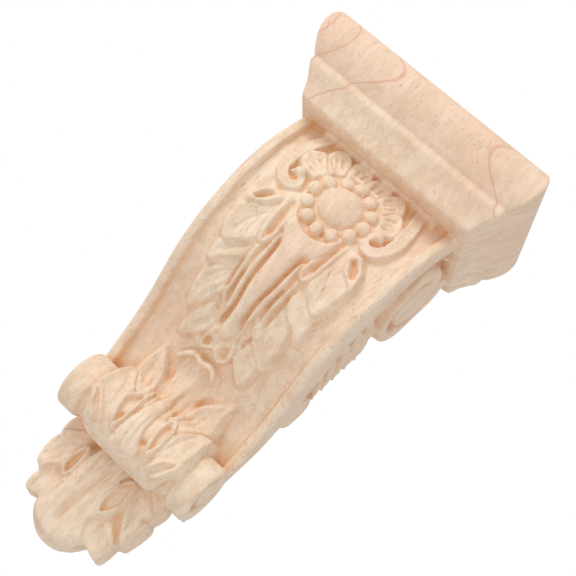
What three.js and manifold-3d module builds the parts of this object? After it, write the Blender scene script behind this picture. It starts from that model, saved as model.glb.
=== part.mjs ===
// A carved wooden corbel, in millimetres, +Z up.
// The wall is the plane y = 0 and the corbel stands out from it towards -Y. X runs across.
// The origin is the centre of the flat back. One block of wood, so one solid.
import * as THREE from "three";
import { LoftGeometry } from "three/addons/geometries/LoftGeometry.js";
import { mergeVertices } from "three/addons/utils/BufferGeometryUtils.js";
import Module from "manifold-3d";

// Cap moulding, at its widest, and the set-back of each step on the front and on both sides
const capWidth = 112;
const capDepth = 79;
const fasciaHeight = 20.75;
const filletHeight = 2.8;
const coveHeight = 12.45;
const topSetBack = 3.2;
const filletSetBack = 6;
const lipSetBack = 12.5;
const underCapHeight = 2.3;

// Body: an S in side view that narrows towards its foot
const bodyHeight = 120;
const bodyTopWidth = 81.7;
const bodyFootWidth = 72.1;
const shoulderDepth = 55.8;
const bellyDepth = 66.8;
const footDepth = 23.7;

// Front panel, sunk between two raised borders
const borderWidth = 5.2;
const borderCove = 4.6;
const borderRound = 1.3;
const panelSink = 2.75;

// Lower scroll: a cylinder lying across, with a volute on each end
const scrollRadius = 13;
const scrollLength = 72;
const scrollDepth = 25.5;
const scrollDrop = 15;
const scrollNeckCut = 1.4;
const scrollGrooveDepth = 1.4;
const scrollGrooveWidth = 2.2;
const scrollNeckAt = 25;

// Tail leaf below the scroll
const tailDrop = 55.5;
const tailEdge = 8;
const tailRootDepth = 19;
const tailHalfWidth = 27.3;
const tailShift = -1.8;
const tailTipShift = -3;

// Side faces: a volute disc at the top, a raised band along the front, a sunk field behind it
const voluteRadius = 23;
const voluteDepth = 19.5;
const voluteDrop = 18.9;
const voluteGrooveDepth = 2.6;
const voluteGrooveWidth = 2.6;
const sideStep = 3.2;
const sideSink = 6.6;
const neckSink = 3.6;
const sideFrondRise = 3;

// Carving on the front, drawn on a grid across the body's top, down it, round the scroll and down the tail
const gridAcross = 82;
const gridBody = 140;
const gridScroll = 55;
const gridTail = 44;
const reliefSink = 1.6;
const rosetteDown = 26.4;
const rosetteAcross = 1;
const bossRadius = 9.4;
const bossHeight = 4.4;
const pearlCount = 12;
const pearlRing = 12.8;
const pearlRadius = 2.5;
const pearlRise = 1.5;
const petalRise = 2.6;
const leafRise = 3.1;
const drapeStart = 108;
const drapeLength = 100;
const drapeSink = 9;
const stemRise = 3.6;

const overallHeight =
  fasciaHeight + filletHeight + coveHeight + underCapHeight + bodyHeight + scrollDrop + tailDrop;
const capTop = overallHeight / 2;
const filletTop = capTop - fasciaHeight;
const filletFoot = filletTop - filletHeight;
const lipHeight = filletFoot - coveHeight;
const voluteHeight = lipHeight - voluteDrop;
const bodyTop = lipHeight - underCapHeight;
const bodyFoot = bodyTop - bodyHeight;
const scrollHeight = bodyFoot - scrollDrop;
const tailTip = scrollHeight - tailDrop;

const wasm = await Module();
wasm.setup();

// Six times the volume between a geometry's faces and its centre, negative when they point inwards.
function signedVolume(geometry) {
  const position = geometry.getAttribute("position");
  const index = geometry.getIndex().array;
  const corners = [new THREE.Vector3(), new THREE.Vector3(), new THREE.Vector3()];
  geometry.computeBoundingBox();
  const centre = geometry.boundingBox.getCenter(new THREE.Vector3());
  let sum = 0;
  for (let i = 0; i < index.length; i += 3) {
    corners.forEach((corner, k) => corner.fromBufferAttribute(position, index[i + k]).sub(centre));
    sum += corners[0].dot(corners[1].cross(corners[2]));
  }
  return sum;
}

// A closed geometry as a solid that can be joined and cut, with its faces pointing outwards.
function solidOf(geometry) {
  const bare = new THREE.BufferGeometry().setAttribute("position", geometry.getAttribute("position"));
  bare.setIndex(geometry.getIndex());
  const merged = mergeVertices(bare, 1e-4);
  const inward = signedVolume(merged) < 0;
  const index = merged.getIndex().array;
  const kept = [];
  for (let i = 0; i < index.length; i += 3) {
    const [a, b, c] = [index[i], index[i + 1], index[i + 2]];
    if (a !== b && b !== c && c !== a) kept.push(a, inward ? c : b, inward ? b : c);
  }
  const mesh = new wasm.Mesh({
    numProp: 3,
    vertProperties: new Float32Array(merged.getAttribute("position").array),
    triVerts: new Uint32Array(kept),
  });
  return new wasm.Manifold(mesh);
}

// A solid skinned through closed cross-sections, whichever way round they were listed.
function loft(sections) {
  const inward = signedVolume(new LoftGeometry(sections)) < 0;
  const ordered = inward ? sections.map((section) => [...section].reverse()) : sections;
  return solidOf(new LoftGeometry(ordered, { capStart: true, capEnd: true }));
}

function extrude(shape, depth, segments = 6) {
  return new THREE.ExtrudeGeometry(shape, { depth, bevelEnabled: false, curveSegments: segments });
}

function joined(solids) {
  return solids.reduce((whole, solid) => whole.add(solid));
}

// The block itself, without the specks that joins of nearly touching faces can leave inside it.
function wholeBlock(solid) {
  return solid.decompose().reduce((best, body) => (body.volume() > best.volume() ? body : best));
}

function lerp(from, to, share) {
  return from + (to - from) * share;
}

// A value read off a list of [share, value] pairs by straight lines between them.
function along(pairs, share) {
  const next = pairs.findIndex(([at]) => at >= share);
  if (next < 0) return pairs[pairs.length - 1][1];
  if (next === 0) return pairs[0][1];
  const [fromAt, from] = pairs[next - 1];
  const [toAt, to] = pairs[next];
  return lerp(from, to, (share - fromAt) / (toAt - fromAt));
}

// Side view of the body's front: depth from the wall at a height, from the cap down to the foot.
const bodyKnots = [
  [-0.1, lerp(footDepth, shoulderDepth, 0.8)],
  [0, shoulderDepth],
  [0.19, lerp(footDepth, bellyDepth, 0.986)],
  [0.4, bellyDepth],
  [0.6, lerp(footDepth, bellyDepth, 0.787)],
  [0.81, lerp(footDepth, bellyDepth, 0.292)],
  [1, footDepth],
  [1.1, footDepth * 0.82],
];
const bodyCurve = new THREE.SplineCurve(
  bodyKnots.map(([share, depth]) => new THREE.Vector2(depth, bodyTop - share * bodyHeight)),
);
const bodySamples = bodyCurve.getPoints(140);

function frontDepth(height) {
  const next = bodySamples.findIndex((point) => point.y <= height);
  if (next <= 0) return bodySamples[next < 0 ? bodySamples.length - 1 : 0].x;
  const [above, below] = [bodySamples[next - 1], bodySamples[next]];
  return lerp(above.x, below.x, (above.y - height) / (above.y - below.y));
}

function frontSlope(height) {
  return frontDepth(height + 0.5) - frontDepth(height - 0.5);
}

function panelDepth(height) {
  return frontDepth(height) - panelSink * Math.hypot(1, frontSlope(height));
}

function bodyHalfWidth(height) {
  return lerp(bodyTopWidth, bodyFootWidth, (bodyTop - height) / bodyHeight) / 2;
}

// Depth of the tail leaf's face below the scroll
function tailDepth(height) {
  const share = (scrollHeight - scrollRadius * 0.85 - height) / (tailDrop - scrollRadius * 0.85);
  const middle = lerp(tailEdge, tailRootDepth, 0.72);
  return along([[0, tailRootDepth], [0.5, middle], [1, tailEdge * 1.1]], share);
}

// The panel's run down the body, sampled so that a grid distance finds its height.
const runSteps = 80;
const runStart = bodyTop + 1;
const run = [{ height: runStart, length: 0 }];
for (let i = 1; i <= runSteps; i += 1) {
  const height = lerp(runStart, bodyFoot, i / runSteps);
  const last = run[i - 1];
  const step = Math.hypot(height - last.height, panelDepth(height) - panelDepth(last.height));
  run.push({ height, length: last.length + step });
}
const runLength = run[runSteps].length;
const runPairs = run.map(({ height, length }) => [length, height]);

const scrollTopAngle = THREE.MathUtils.degToRad(112);
const scrollFootAngle = THREE.MathUtils.degToRad(-118);
const acrossScale = bodyTopWidth / gridAcross;

// A point on the front, from grid distances across and down, standing out by a rise.
function onFront(across, down, rise) {
  const x = across * acrossScale;
  if (down <= gridBody) {
    const height = along(runPairs, (down / gridBody) * runLength);
    const slope = frontSlope(height);
    const out = rise / Math.hypot(1, slope);
    return new THREE.Vector3(x, -(panelDepth(height) + out), height - slope * out);
  }
  if (down <= gridBody + gridScroll) {
    const angle = lerp(scrollTopAngle, scrollFootAngle, (down - gridBody) / gridScroll);
    const radius = scrollRadius + rise;
    return new THREE.Vector3(
      x,
      -(scrollDepth + radius * Math.cos(angle)),
      scrollHeight + radius * Math.sin(angle),
    );
  }
  return onTail(across, down - gridBody - gridScroll, rise);
}

// The same on the tail, from its own start, with its face running on upwards behind the scroll.
function onTail(across, down, rise) {
  const share = down / gridTail;
  const height = lerp(scrollHeight - scrollRadius * 0.85, tailTip, share);
  const shift = lerp(tailShift, tailTipShift, down / gridTail);
  return new THREE.Vector3(across * acrossScale + shift, -(tailDepth(height) + rise), height);
}

// The leaf that lies over the scroll follows a smoother line than the wood under it.
const drapeLifts = [0.4, 0.8, 1.4, 3, 2.2, 1.6, 1.6, 1.6, 2, 2, 1.2];
const drapeCurve = new THREE.CatmullRomCurve3(
  drapeLifts.map((lift, i) =>
    onFront(0, drapeStart + (drapeLength * i) / (drapeLifts.length - 1), lift)),
);

// A point on that leaf, with the distance down as a percentage of its length.
function onDrape(across, percent, rise) {
  const share = THREE.MathUtils.clamp(percent / 100, 0, 1);
  const point = drapeCurve.getPoint(share);
  const tangent = drapeCurve.getTangent(share);
  return new THREE.Vector3(
    across * acrossScale,
    point.y + tangent.z * rise,
    point.z - tangent.y * rise,
  );
}

// A point on a side face, from the depth from the wall and the height, standing out by a rise.
function onSide(side) {
  return (depth, height, rise) =>
    new THREE.Vector3(side * (bodyHalfWidth(height) + rise), -depth, height);
}

// Cross-sections as [share of the half-width, share of the rise], between two feet sunk in the wood.
const leafSection = [[-0.76, 0.92], [0, 0.58], [0.76, 0.92]];
const ridgeSection = [[-0.85, 0.5], [-0.4, 1], [0.4, 1], [0.85, 0.5]];
const fluteSection = [[-0.76, 0.95], [-0.36, 0.6], [0, 1], [0.36, 0.6], [0.76, 0.95]];
const hollowSection = [[-0.78, 1], [0, 0.15], [0.78, 1]];

// Outlines as [share of the length, share of the half-width], and how the rise changes on the way.
const leafOutline = [[0, 0.42], [0.25, 0.85], [0.5, 1], [0.75, 0.8], [0.92, 0.36], [1, 0.06]];
const bladeOutline = [[0, 0.6], [0.3, 0.95], [0.55, 1], [0.8, 0.62], [1, 0.05]];
const lobeOutline = [[0, 0.4], [0.4, 0.8], [0.7, 1], [0.9, 0.78], [1, 0.3]];
const bandOutline = [[0, 0.9], [0.6, 1], [0.85, 0.85], [1, 0.5]];
const leafSwell = [[0, 0.75], [0.5, 1], [0.85, 0.85], [1, 0.45]];
const evenSwell = [[0, 0.8], [0.2, 1], [0.9, 0.95], [1, 0.6]];

// A raised form along a line of grid points, on any of the faces above.
function relief(place, spine, form) {
  const { width, rise, outline = leafOutline, section = leafSection, swell = leafSwell } = form;
  const { stations = 4, sink = reliefSink } = form;
  const curve = new THREE.SplineCurve(spine.map(([across, down]) => new THREE.Vector2(across, down)));
  const sections = [];
  for (let i = 0; i <= stations; i += 1) {
    const share = i / stations;
    const centre = curve.getPoint(share);
    const tangent = curve.getTangent(share);
    const half = (width / 2) * along(outline, share);
    const height = rise * along(swell, share);
    const point = (offset, lift) =>
      place(centre.x - tangent.y * half * offset, centre.y + tangent.x * half * offset, lift);
    sections.push([
      point(-1, -sink),
      ...section.map(([offset, lift]) => point(offset, lift * height)),
      point(1, -sink),
    ]);
  }
  return loft(sections);
}

// The same form on the right and on the left.
function pair(place, spine, form) {
  const mirrored = (across, down, lift) => place(-across, down, lift);
  return [relief(place, spine, form), relief(mirrored, spine, form)];
}

// The cap's profile as [set-back, height], from the top down to the body.
function capProfile(reach) {
  const shape = new THREE.Path();
  shape.moveTo(reach - topSetBack, capTop);
  shape.bezierCurveTo(
    reach - topSetBack / 3, capTop - 1,
    reach, capTop - fasciaHeight * 0.2,
    reach, capTop - fasciaHeight * 0.42,
  );
  shape.bezierCurveTo(
    reach, filletTop + fasciaHeight * 0.3,
    reach - filletSetBack * 0.8, filletTop + fasciaHeight * 0.16,
    reach - filletSetBack + 0.5, filletTop,
  );
  shape.lineTo(reach - filletSetBack, filletTop - 0.2);
  shape.lineTo(reach - filletSetBack, filletFoot);
  shape.bezierCurveTo(
    reach - lerp(filletSetBack, lipSetBack, 0.4), filletFoot - coveHeight * 0.28,
    reach - lipSetBack, filletFoot - coveHeight * 0.6,
    reach - lipSetBack, lipHeight,
  );
  return shape.getPoints(5);
}

// The cap: its profile run along the front and along both sides, mitred where they meet.
function capSolid() {
  const under = bodyTop - 1.2;
  const front = new THREE.Shape();
  front.moveTo(0, capTop);
  capProfile(capDepth).forEach((point) => front.lineTo(point.x, point.y));
  front.lineTo(capDepth - lipSetBack - 1, lipHeight - 1);
  front.lineTo(shoulderDepth - panelSink, under);
  front.lineTo(0, under);
  const across = extrude(front, capWidth + 2)
    .translate(0, 0, -capWidth / 2 - 1)
    .applyMatrix4(new THREE.Matrix4().set(0, 0, 1, 0, -1, 0, 0, 0, 0, 1, 0, 0, 0, 0, 0, 1));
  const right = capProfile(capWidth / 2);
  const ends = new THREE.Shape();
  ends.moveTo(0, capTop);
  right.forEach((point) => ends.lineTo(point.x, point.y));
  ends.lineTo(bodyHalfWidth(bodyTop) - 1, under);
  ends.lineTo(1 - bodyHalfWidth(bodyTop), under);
  right.reverse().forEach((point) => ends.lineTo(-point.x, point.y));
  const through = extrude(ends, capDepth + 2)
    .applyMatrix4(new THREE.Matrix4().set(1, 0, 0, 0, 0, 0, -1, 1, 0, 1, 0, 0, 0, 0, 0, 1));
  return solidOf(across).intersect(solidOf(through));
}

// The body with its sunk panel: one level section after another, down behind the scroll.
function bodySolid() {
  const levels = 14;
  const top = bodyTop + underCapHeight;
  const foot = scrollHeight + 2;
  const sections = [];
  for (let i = 0; i <= levels; i += 1) {
    const height = lerp(top, foot, i / levels);
    const half = bodyHalfWidth(height);
    const depth = frontDepth(height);
    const panel = panelDepth(height);
    const right = [
      [half, 0],
      [half, depth - borderRound],
      [half - borderRound, depth],
      [half - borderWidth, depth],
      [half - borderWidth - borderCove * 0.35, lerp(depth, panel, 0.75)],
      [half - borderWidth - borderCove, panel],
    ];
    const left = right.map(([x, out]) => [-x, out]).reverse();
    sections.push([...right, ...left].map(([x, out]) => new THREE.Vector3(x, -out, height)));
  }
  return loft(sections);
}

// Depth of the raised band's inner edge, as shares of the way from the volute's eye to the scroll
const bandEdge = [
  [0, 28], [0.06, 44], [0.13, 50.5], [0.28, 50], [0.38, 47], [0.46, 42], [0.55, 34], [0.64, 28],
  [0.74, 24], [0.9, 20], [1, 20],
];

// What is cut from each side behind the raised band: a field that deepens towards the wall.
function sideCutter(side) {
  const levels = 11;
  const top = voluteHeight;
  const foot = scrollHeight;
  const place = onSide(side);
  const sections = [];
  for (let i = 0; i <= levels; i += 1) {
    const share = i / levels;
    const height = lerp(top, foot, share);
    const step = along([[0, sideStep], [0.55, sideStep], [0.72, 0.3], [1, 0.1]], share);
    const back = along([[0, sideSink], [0.58, sideSink], [0.76, neckSink], [1, neckSink]], share);
    const edge = along(bandEdge, share);
    sections.push([
      place(edge, height, 4),
      place(edge, height, -step),
      place(-1, height, -back),
      place(-1, height, 4),
    ]);
  }
  return loft(sections);
}

// A volute's groove, wound inwards out: share of the turn, then share of the radius or groove width
const voluteSpiral = {
  start: 60,
  turn: 448,
  stations: 20,
  reach: [
    [0, 0.45], [0.12, 0.59], [0.24, 0.66], [0.46, 0.635], [0.64, 0.72], [0.74, 0.757], [0.84, 0.91],
    [0.9, 1.04], [0.94, 1.157], [0.98, 1.28], [1, 1.37],
  ],
  spread: [
    [0, 0.23], [0.2, 0.46], [0.74, 0.5], [0.84, 0.65], [0.9, 0.92], [0.94, 1.2], [0.98, 1.4], [1, 0.8],
  ],
};
const scrollSpiral = {
  start: 75,
  turn: 240,
  stations: 10,
  reach: [[0, 0.58], [0.15, 0.69], [0.31, 0.77], [0.5, 0.77], [0.69, 0.74], [0.85, 0.76], [1, 0.85]],
  spread: [[0, 0.3], [0.3, 0.5], [0.85, 0.5], [1, 0.3]],
};

function spiralGroove(side, spiral, eye, radius, width, cut) {
  const place = onSide(side);
  const sections = [];
  for (let i = 0; i <= spiral.stations; i += 1) {
    const share = i / spiral.stations;
    const angle = THREE.MathUtils.degToRad(spiral.start - spiral.turn * share);
    const middle = radius * along(spiral.reach, share);
    const half = width * along(spiral.spread, share);
    const point = (reach, rise) =>
      place(eye.depth + reach * Math.cos(angle), eye.height + reach * Math.sin(angle), rise);
    sections.push([
      point(middle - half * 1.25, 1.5),
      point(middle - half * 0.5, -cut),
      point(middle + half * 0.5, -cut),
      point(middle + half * 1.25, 1.5),
    ]);
  }
  return loft(sections);
}

// Leaves on each side: depth of the root, shares of the way down at root, middle and tip, and width
const sideFronds = [
  [44, 0.235, 0.22, 0.235, 8],
  [43, 0.3, 0.28, 0.3, 8],
  [42, 0.355, 0.345, 0.365, 8],
  [39, 0.41, 0.41, 0.425, 7.5],
  [34, 0.46, 0.47, 0.48, 7],
  [26, 0.54, 0.57, 0.585, 15],
];

function disc(radius, depth, height, half) {
  return new THREE.CylinderGeometry(radius, radius, half * 2, 26)
    .rotateZ(Math.PI / 2)
    .translate(0, -depth, height);
}

// A side's volute disc, frond leaves and round lobe, standing on the sunk field.
function sideCarving(side) {
  const face = onSide(side);
  const field = (depth, height, rise) =>
    face(depth, height, rise - lerp(sideSink, sideStep, Math.max(depth, 0) / 50));
  const inner = -sideSink - 6;
  const slab = [1, -1].map((end) => {
    const height = voluteHeight + end * (voluteRadius + 1);
    const back = -voluteRadius;
    const front = voluteDepth + voluteRadius + 1;
    return [
      face(back, height, 0),
      face(front, height, 0),
      face(front, height, inner),
      face(back, height, inner),
    ];
  });
  const plate = disc(voluteRadius, voluteDepth, voluteHeight, bodyTopWidth);
  const down = (share) => lerp(voluteHeight, scrollHeight, share);
  const fronds = sideFronds.map(([inset, root, middle, tip, width]) =>
    relief(field, [[inset, down(root)], [inset * 0.55, down(middle)], [-1, down(tip)]], {
      width,
      rise: sideFrondRise,
      outline: bandOutline,
      swell: evenSwell,
      section: ridgeSection,
      stations: 3,
    }));
  return [solidOf(plate).intersect(loft(slab)), ...fronds];
}

function scrollSolid() {
  const half = scrollLength / 2;
  const end = [
    [0, half],
    [scrollRadius - 1.6, half],
    [scrollRadius - 0.5, half - 0.7],
    [scrollRadius, half - 2.4],
    [scrollRadius, scrollNeckAt + 2.2],
    [scrollRadius - scrollNeckCut, scrollNeckAt],
  ];
  const profile = [...end, ...end.map(([radius, x]) => [radius, -x]).reverse()];
  const geometry = new THREE.LatheGeometry(
    profile.map(([radius, x]) => new THREE.Vector2(radius, x)),
    22,
  );
  return solidOf(geometry.rotateZ(Math.PI / 2).translate(0, -scrollDepth, scrollHeight));
}

// Half of the tail leaf's outline on the grid, from under the scroll to the tip.
const tailOutline = [
  [17, -9], [23, -3], [27, 1], [27.6, 6], [26, 9.5], [27.6, 12], [27.5, 18], [25.8, 23], [22.4, 25],
  [23.4, 28], [22.6, 32.5], [18.5, 33.8], [14.2, 32.6], [13.2, 36.5], [9.8, 41], [5.2, 43.5], [0, 44],
];

// The tail's block: its outline, from the wall to an edge that is domed on its front.
function tailSolid() {
  const widest = Math.max(...tailOutline.map(([across]) => across));
  const scale = tailHalfWidth / widest;
  const left = tailOutline.map(([across, down]) => [-across, down]).reverse();
  const outline = [...tailOutline, ...left.slice(1)].map(([across, down]) => {
    const middle = onTail(0, down, 0);
    return new THREE.Vector2(across * scale + middle.x, middle.z);
  });
  const centre = lerp(scrollHeight, tailTip, 0.5);
  const ring = (shrink, depth) => outline.map((point) => new THREE.Vector3(
    lerp(tailShift, point.x, shrink),
    -depth(point.y),
    lerp(centre, point.y, shrink),
  ));
  return loft([
    ring(1, () => 0),
    ring(1, (height) => tailDepth(height) * 0.62),
    ring(0.93, (height) => tailDepth(height)),
  ]);
}

// Wood behind the scroll, between the body's foot and the tail.
function backSolid() {
  const half = scrollLength / 2 - neckSink - 1;
  return solidOf(
    new THREE.BoxGeometry(half * 2, scrollDepth, scrollDrop + scrollRadius * 0.8)
      .translate(0, -scrollDepth / 2, scrollHeight + (scrollDrop - scrollRadius * 0.8) / 2),
  );
}

function rosette() {
  const centre = onFront(rosetteAcross, rosetteDown, 0);
  const ahead = onFront(rosetteAcross, rosetteDown, 1).sub(centre);
  const pole = new THREE.Vector3(0, 0, 1);
  const lean = new THREE.Quaternion().setFromUnitVectors(pole, ahead.normalize());
  const dome = new THREE.SphereGeometry(bossRadius, 12, 6)
    .rotateX(Math.PI / 2)
    .scale(1, 1, bossHeight / bossRadius)
    .applyQuaternion(lean)
    .translate(...centre);
  const plate = (across, down, rise) => onFront(rosetteAcross + across, rosetteDown + down, rise);
  const pearls = [];
  for (let i = 0; i < pearlCount; i += 1) {
    const turn = ((i + 0.5) / pearlCount) * 2 * Math.PI;
    const at = plate(pearlRing * Math.sin(turn), pearlRing * Math.cos(turn), pearlRise);
    pearls.push(solidOf(new THREE.SphereGeometry(pearlRadius, 6, 4).translate(...at)));
  }
  const petals = [12, 36, 68].flatMap((degrees) => {
    const turn = THREE.MathUtils.degToRad(degrees);
    const reach = (radius) => [radius * Math.sin(turn), rosetteDown - radius * Math.cos(turn)];
    return pair(onFront, [reach(7), reach(16), reach(27)], {
      width: 11.5,
      rise: petalRise,
      outline: lobeOutline,
      section: fluteSection,
      swell: evenSwell,
      stations: 4,
    });
  });
  return [solidOf(dome), ...pearls, ...petals];
}

// C-scrolls beside the rosette, each curling back to a hook.
function cScrolls() {
  const spine = [[23, -2], [28.5, 6], [29, 17], [26.5, 27], [21.5, 31.5], [18, 29], [20.5, 26]];
  return pair(onFront, spine, {
    width: 4.6,
    rise: leafRise,
    outline: bandOutline,
    section: ridgeSection,
    swell: evenSwell,
    stations: 10,
  });
}

// The husk under the rosette that runs down into two small loops.
function husk() {
  const halfWidths = [
    [0, 0.95], [0.13, 0.8], [0.22, 0.5], [0.38, 0.44], [0.6, 0.34], [0.86, 0.42], [0.94, 0.72], [1, 0.5],
  ];
  return [
    relief(onFront, [[0, 36], [0, 58], [0, 80], [0, 105]], {
      width: 20,
      rise: stemRise,
      outline: halfWidths,
      section: ridgeSection,
      swell: evenSwell,
      stations: 8,
    }),
  ];
}

function panelLeaves() {
  const leaves = [
    [[[13, 36], [19, 40], [27, 48]], 8],
    [[[8, 42], [20, 50], [24.5, 67]], 13],
    [[[7, 55], [16, 63], [24.5, 79]], 10.5],
    [[[6.5, 68], [13, 78], [19, 97]], 9],
    [[[6, 84], [11, 95], [18, 113]], 9.5],
    [[[7, 40], [8, 60], [9, 86]], 4],
  ];
  return leaves.flatMap(([spine, width]) => pair(onFront, spine, { width, rise: leafRise }));
}

// The acanthus leaf that starts on the panel's foot and lies over the scroll.
function drape() {
  const spread = [
    [0, 8.5], [0.06, 9], [0.14, 13], [0.25, 18], [0.36, 22.5], [0.52, 24], [0.68, 23], [0.82, 20], [1, 19],
  ];
  const stations = 11;
  const sections = [];
  for (let i = 0; i <= stations; i += 1) {
    const share = i / stations;
    const percent = lerp(6, 96, share);
    const half = along(spread, share);
    sections.push([
      onDrape(-half, percent, -drapeSink),
      onDrape(-half, percent, 0),
      onDrape(0, percent, 1.2),
      onDrape(half, percent, 0),
      onDrape(half, percent, -drapeSink),
    ]);
  }
  const curledTip = relief(onDrape, [[-8, 6], [-4, 4], [0, 5.5], [4, 4], [8, 6]], {
    width: 4.5,
    rise: 3,
    outline: bandOutline,
    section: ridgeSection,
    swell: evenSwell,
    stations: 6,
  });
  const fronds = [
    [[[5, 42], [12, 30], [19.5, 11]], 10, 3.4, leafSection, leafOutline],
    [[[8, 58], [16, 44], [23, 25]], 10.5, 3.2, leafSection, leafOutline],
    [[[11, 72], [18, 64], [24.5, 54]], 9, 3, hollowSection, lobeOutline],
    [[[7, 72], [8.5, 57], [9.5, 42]], 6, 3.4, hollowSection, leafOutline],
  ].flatMap(([spine, width, rise, section, outline]) =>
    pair(onDrape, spine, { width, rise, section, outline, sink: drapeSink }));
  const rib = relief(onDrape, [[0, 82], [1.5, 57], [-1, 32], [0, 10]], {
    width: 8,
    rise: 2.8,
    section: hollowSection,
    outline: bladeOutline,
    swell: evenSwell,
    stations: 6,
    sink: drapeSink,
  });
  return [loft(sections), curledTip, ...fronds, rib];
}

function tailLeaves() {
  const fronds = [
    [[[12, 1], [20, 11], [25, 23]], 12, 3],
    [[[8, 5], [16, 19], [20.5, 32.5]], 10, 2.8],
    [[[17, -3], [22, 2], [26.5, 8]], 7, 2.2],
    [[[7, 2], [11, 10], [12.5, 19]], 6.5, 4],
  ].flatMap(([spine, width, rise], i) => pair(onTail, spine, {
    width,
    rise,
    section: i === 3 ? hollowSection : leafSection,
    outline: bladeOutline,
  }));
  const middle = relief(onTail, [[0, -1], [-0.5, 20], [0, 43]], {
    width: 23,
    rise: 3.4,
    outline: [[0, 0.4], [0.3, 0.7], [0.7, 1], [0.88, 0.9], [1, 0.42]],
    section: leafSection,
    stations: 5,
  });
  return [...fronds, middle];
}

function corbel() {
  const voluteEye = { depth: voluteDepth, height: voluteHeight };
  const scrollEye = { depth: scrollDepth - scrollRadius * 0.38, height: scrollHeight + scrollRadius * 0.2 };
  const cutters = [1, -1].map(sideCutter);
  const grooves = [1, -1].flatMap((side) => [
    spiralGroove(side, voluteSpiral, voluteEye, voluteRadius, voluteGrooveWidth, voluteGrooveDepth),
    spiralGroove(side, scrollSpiral, scrollEye, scrollRadius, scrollGrooveWidth, scrollGrooveDepth),
  ]);
  const block = cutters.reduce((whole, cutter) => whole.subtract(cutter), bodySolid());
  const carved = joined([
    block,
    capSolid(),
    backSolid(),
    scrollSolid(),
    tailSolid(),
    ...[1, -1].flatMap(sideCarving),
    ...rosette(),
    ...cScrolls(),
    ...husk(),
    ...panelLeaves(),
    ...drape(),
    ...tailLeaves(),
  ]);
  const grooved = grooves.reduce((whole, cut) => whole.subtract(cut), carved);
  const wallSide = new THREE.BoxGeometry(capWidth * 2, capDepth * 2, overallHeight * 2)
    .translate(0, -capDepth, 0);
  return wholeBlock(grooved.intersect(solidOf(wallSide)));
}

function meshOf(solid, name, material) {
  const { vertProperties, triVerts } = solid.getMesh();
  const geometry = new THREE.BufferGeometry();
  geometry.setAttribute("position", new THREE.BufferAttribute(vertProperties, 3));
  geometry.setIndex(new THREE.BufferAttribute(triVerts, 1));
  geometry.computeVertexNormals();
  const mesh = new THREE.Mesh(geometry, material);
  mesh.name = name;
  return mesh;
}

const paleWood = new THREE.MeshStandardMaterial({ color: 0xe9c9a8, roughness: 0.72, metalness: 0 });

const group = new THREE.Group();
group.add(meshOf(corbel(), "carved_corbel", paleWood));

export default group;
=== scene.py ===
"""A carved wooden corbel, finished: cap moulding, leaf carving, scroll and pale close-grained wood.

Lengths are in millimetres until a mesh is finished and in metres after that. The wall is the plane
y = 0, the corbel stands out from it towards -Y, and +Z is up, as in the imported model. Carving on
the front is laid out by its distance across from the middle and down along the surface.
"""

import logging
import math
from dataclasses import dataclass, field, replace
from enum import Enum
from typing import Any, Callable, Sequence, Union

import bmesh
import bpy
import numpy as np
from mathutils import Matrix, Vector
from mathutils.bvhtree import BVHTree


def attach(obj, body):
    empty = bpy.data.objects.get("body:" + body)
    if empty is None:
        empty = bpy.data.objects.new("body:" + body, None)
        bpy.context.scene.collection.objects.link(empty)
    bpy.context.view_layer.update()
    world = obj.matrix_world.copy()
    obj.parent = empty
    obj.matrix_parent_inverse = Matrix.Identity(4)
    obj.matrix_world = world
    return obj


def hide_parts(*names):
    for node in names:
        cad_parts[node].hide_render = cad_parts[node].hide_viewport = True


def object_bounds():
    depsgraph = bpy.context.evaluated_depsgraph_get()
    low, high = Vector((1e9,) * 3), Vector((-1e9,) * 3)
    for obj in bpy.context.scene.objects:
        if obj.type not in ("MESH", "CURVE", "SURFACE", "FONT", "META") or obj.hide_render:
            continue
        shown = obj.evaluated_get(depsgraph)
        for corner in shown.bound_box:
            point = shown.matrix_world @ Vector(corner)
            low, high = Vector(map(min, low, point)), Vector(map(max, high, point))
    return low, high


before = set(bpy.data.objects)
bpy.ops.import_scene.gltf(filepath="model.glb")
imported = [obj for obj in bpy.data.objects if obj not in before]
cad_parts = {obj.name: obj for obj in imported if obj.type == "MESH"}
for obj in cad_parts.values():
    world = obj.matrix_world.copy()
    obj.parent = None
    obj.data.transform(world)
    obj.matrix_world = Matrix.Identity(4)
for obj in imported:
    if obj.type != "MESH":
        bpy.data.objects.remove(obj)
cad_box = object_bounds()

log = logging.getLogger("corbel")

Array = np.ndarray
Point = tuple[float, float]
Profile = Sequence[Point]
Outline = tuple[Point, ...]
Spine = tuple[Point, ...]
Cut = tuple[Spine, float, float]
Hole = tuple[Point, float, float]
Frond = tuple[Point, float, Outline]
Colour = tuple[float, ...]
Scale = tuple[float, float, float]

MILLIMETRE = 0.001
RING_STEPS = 12
MERGE = 1e-4
FAR = 1e9
TINY = 1e-9


def smooth(share: Array) -> Array:
    """An ease from 0 to 1, flat at both ends."""
    t = np.clip(share, 0.0, 1.0)
    return t * t * (3.0 - 2.0 * t)


def read(profile: Profile, at: Array) -> Array:
    """Values read off a list of (place, value) pairs by straight lines between them."""
    places, values = zip(*profile)
    return np.interp(at, places, values)


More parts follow.
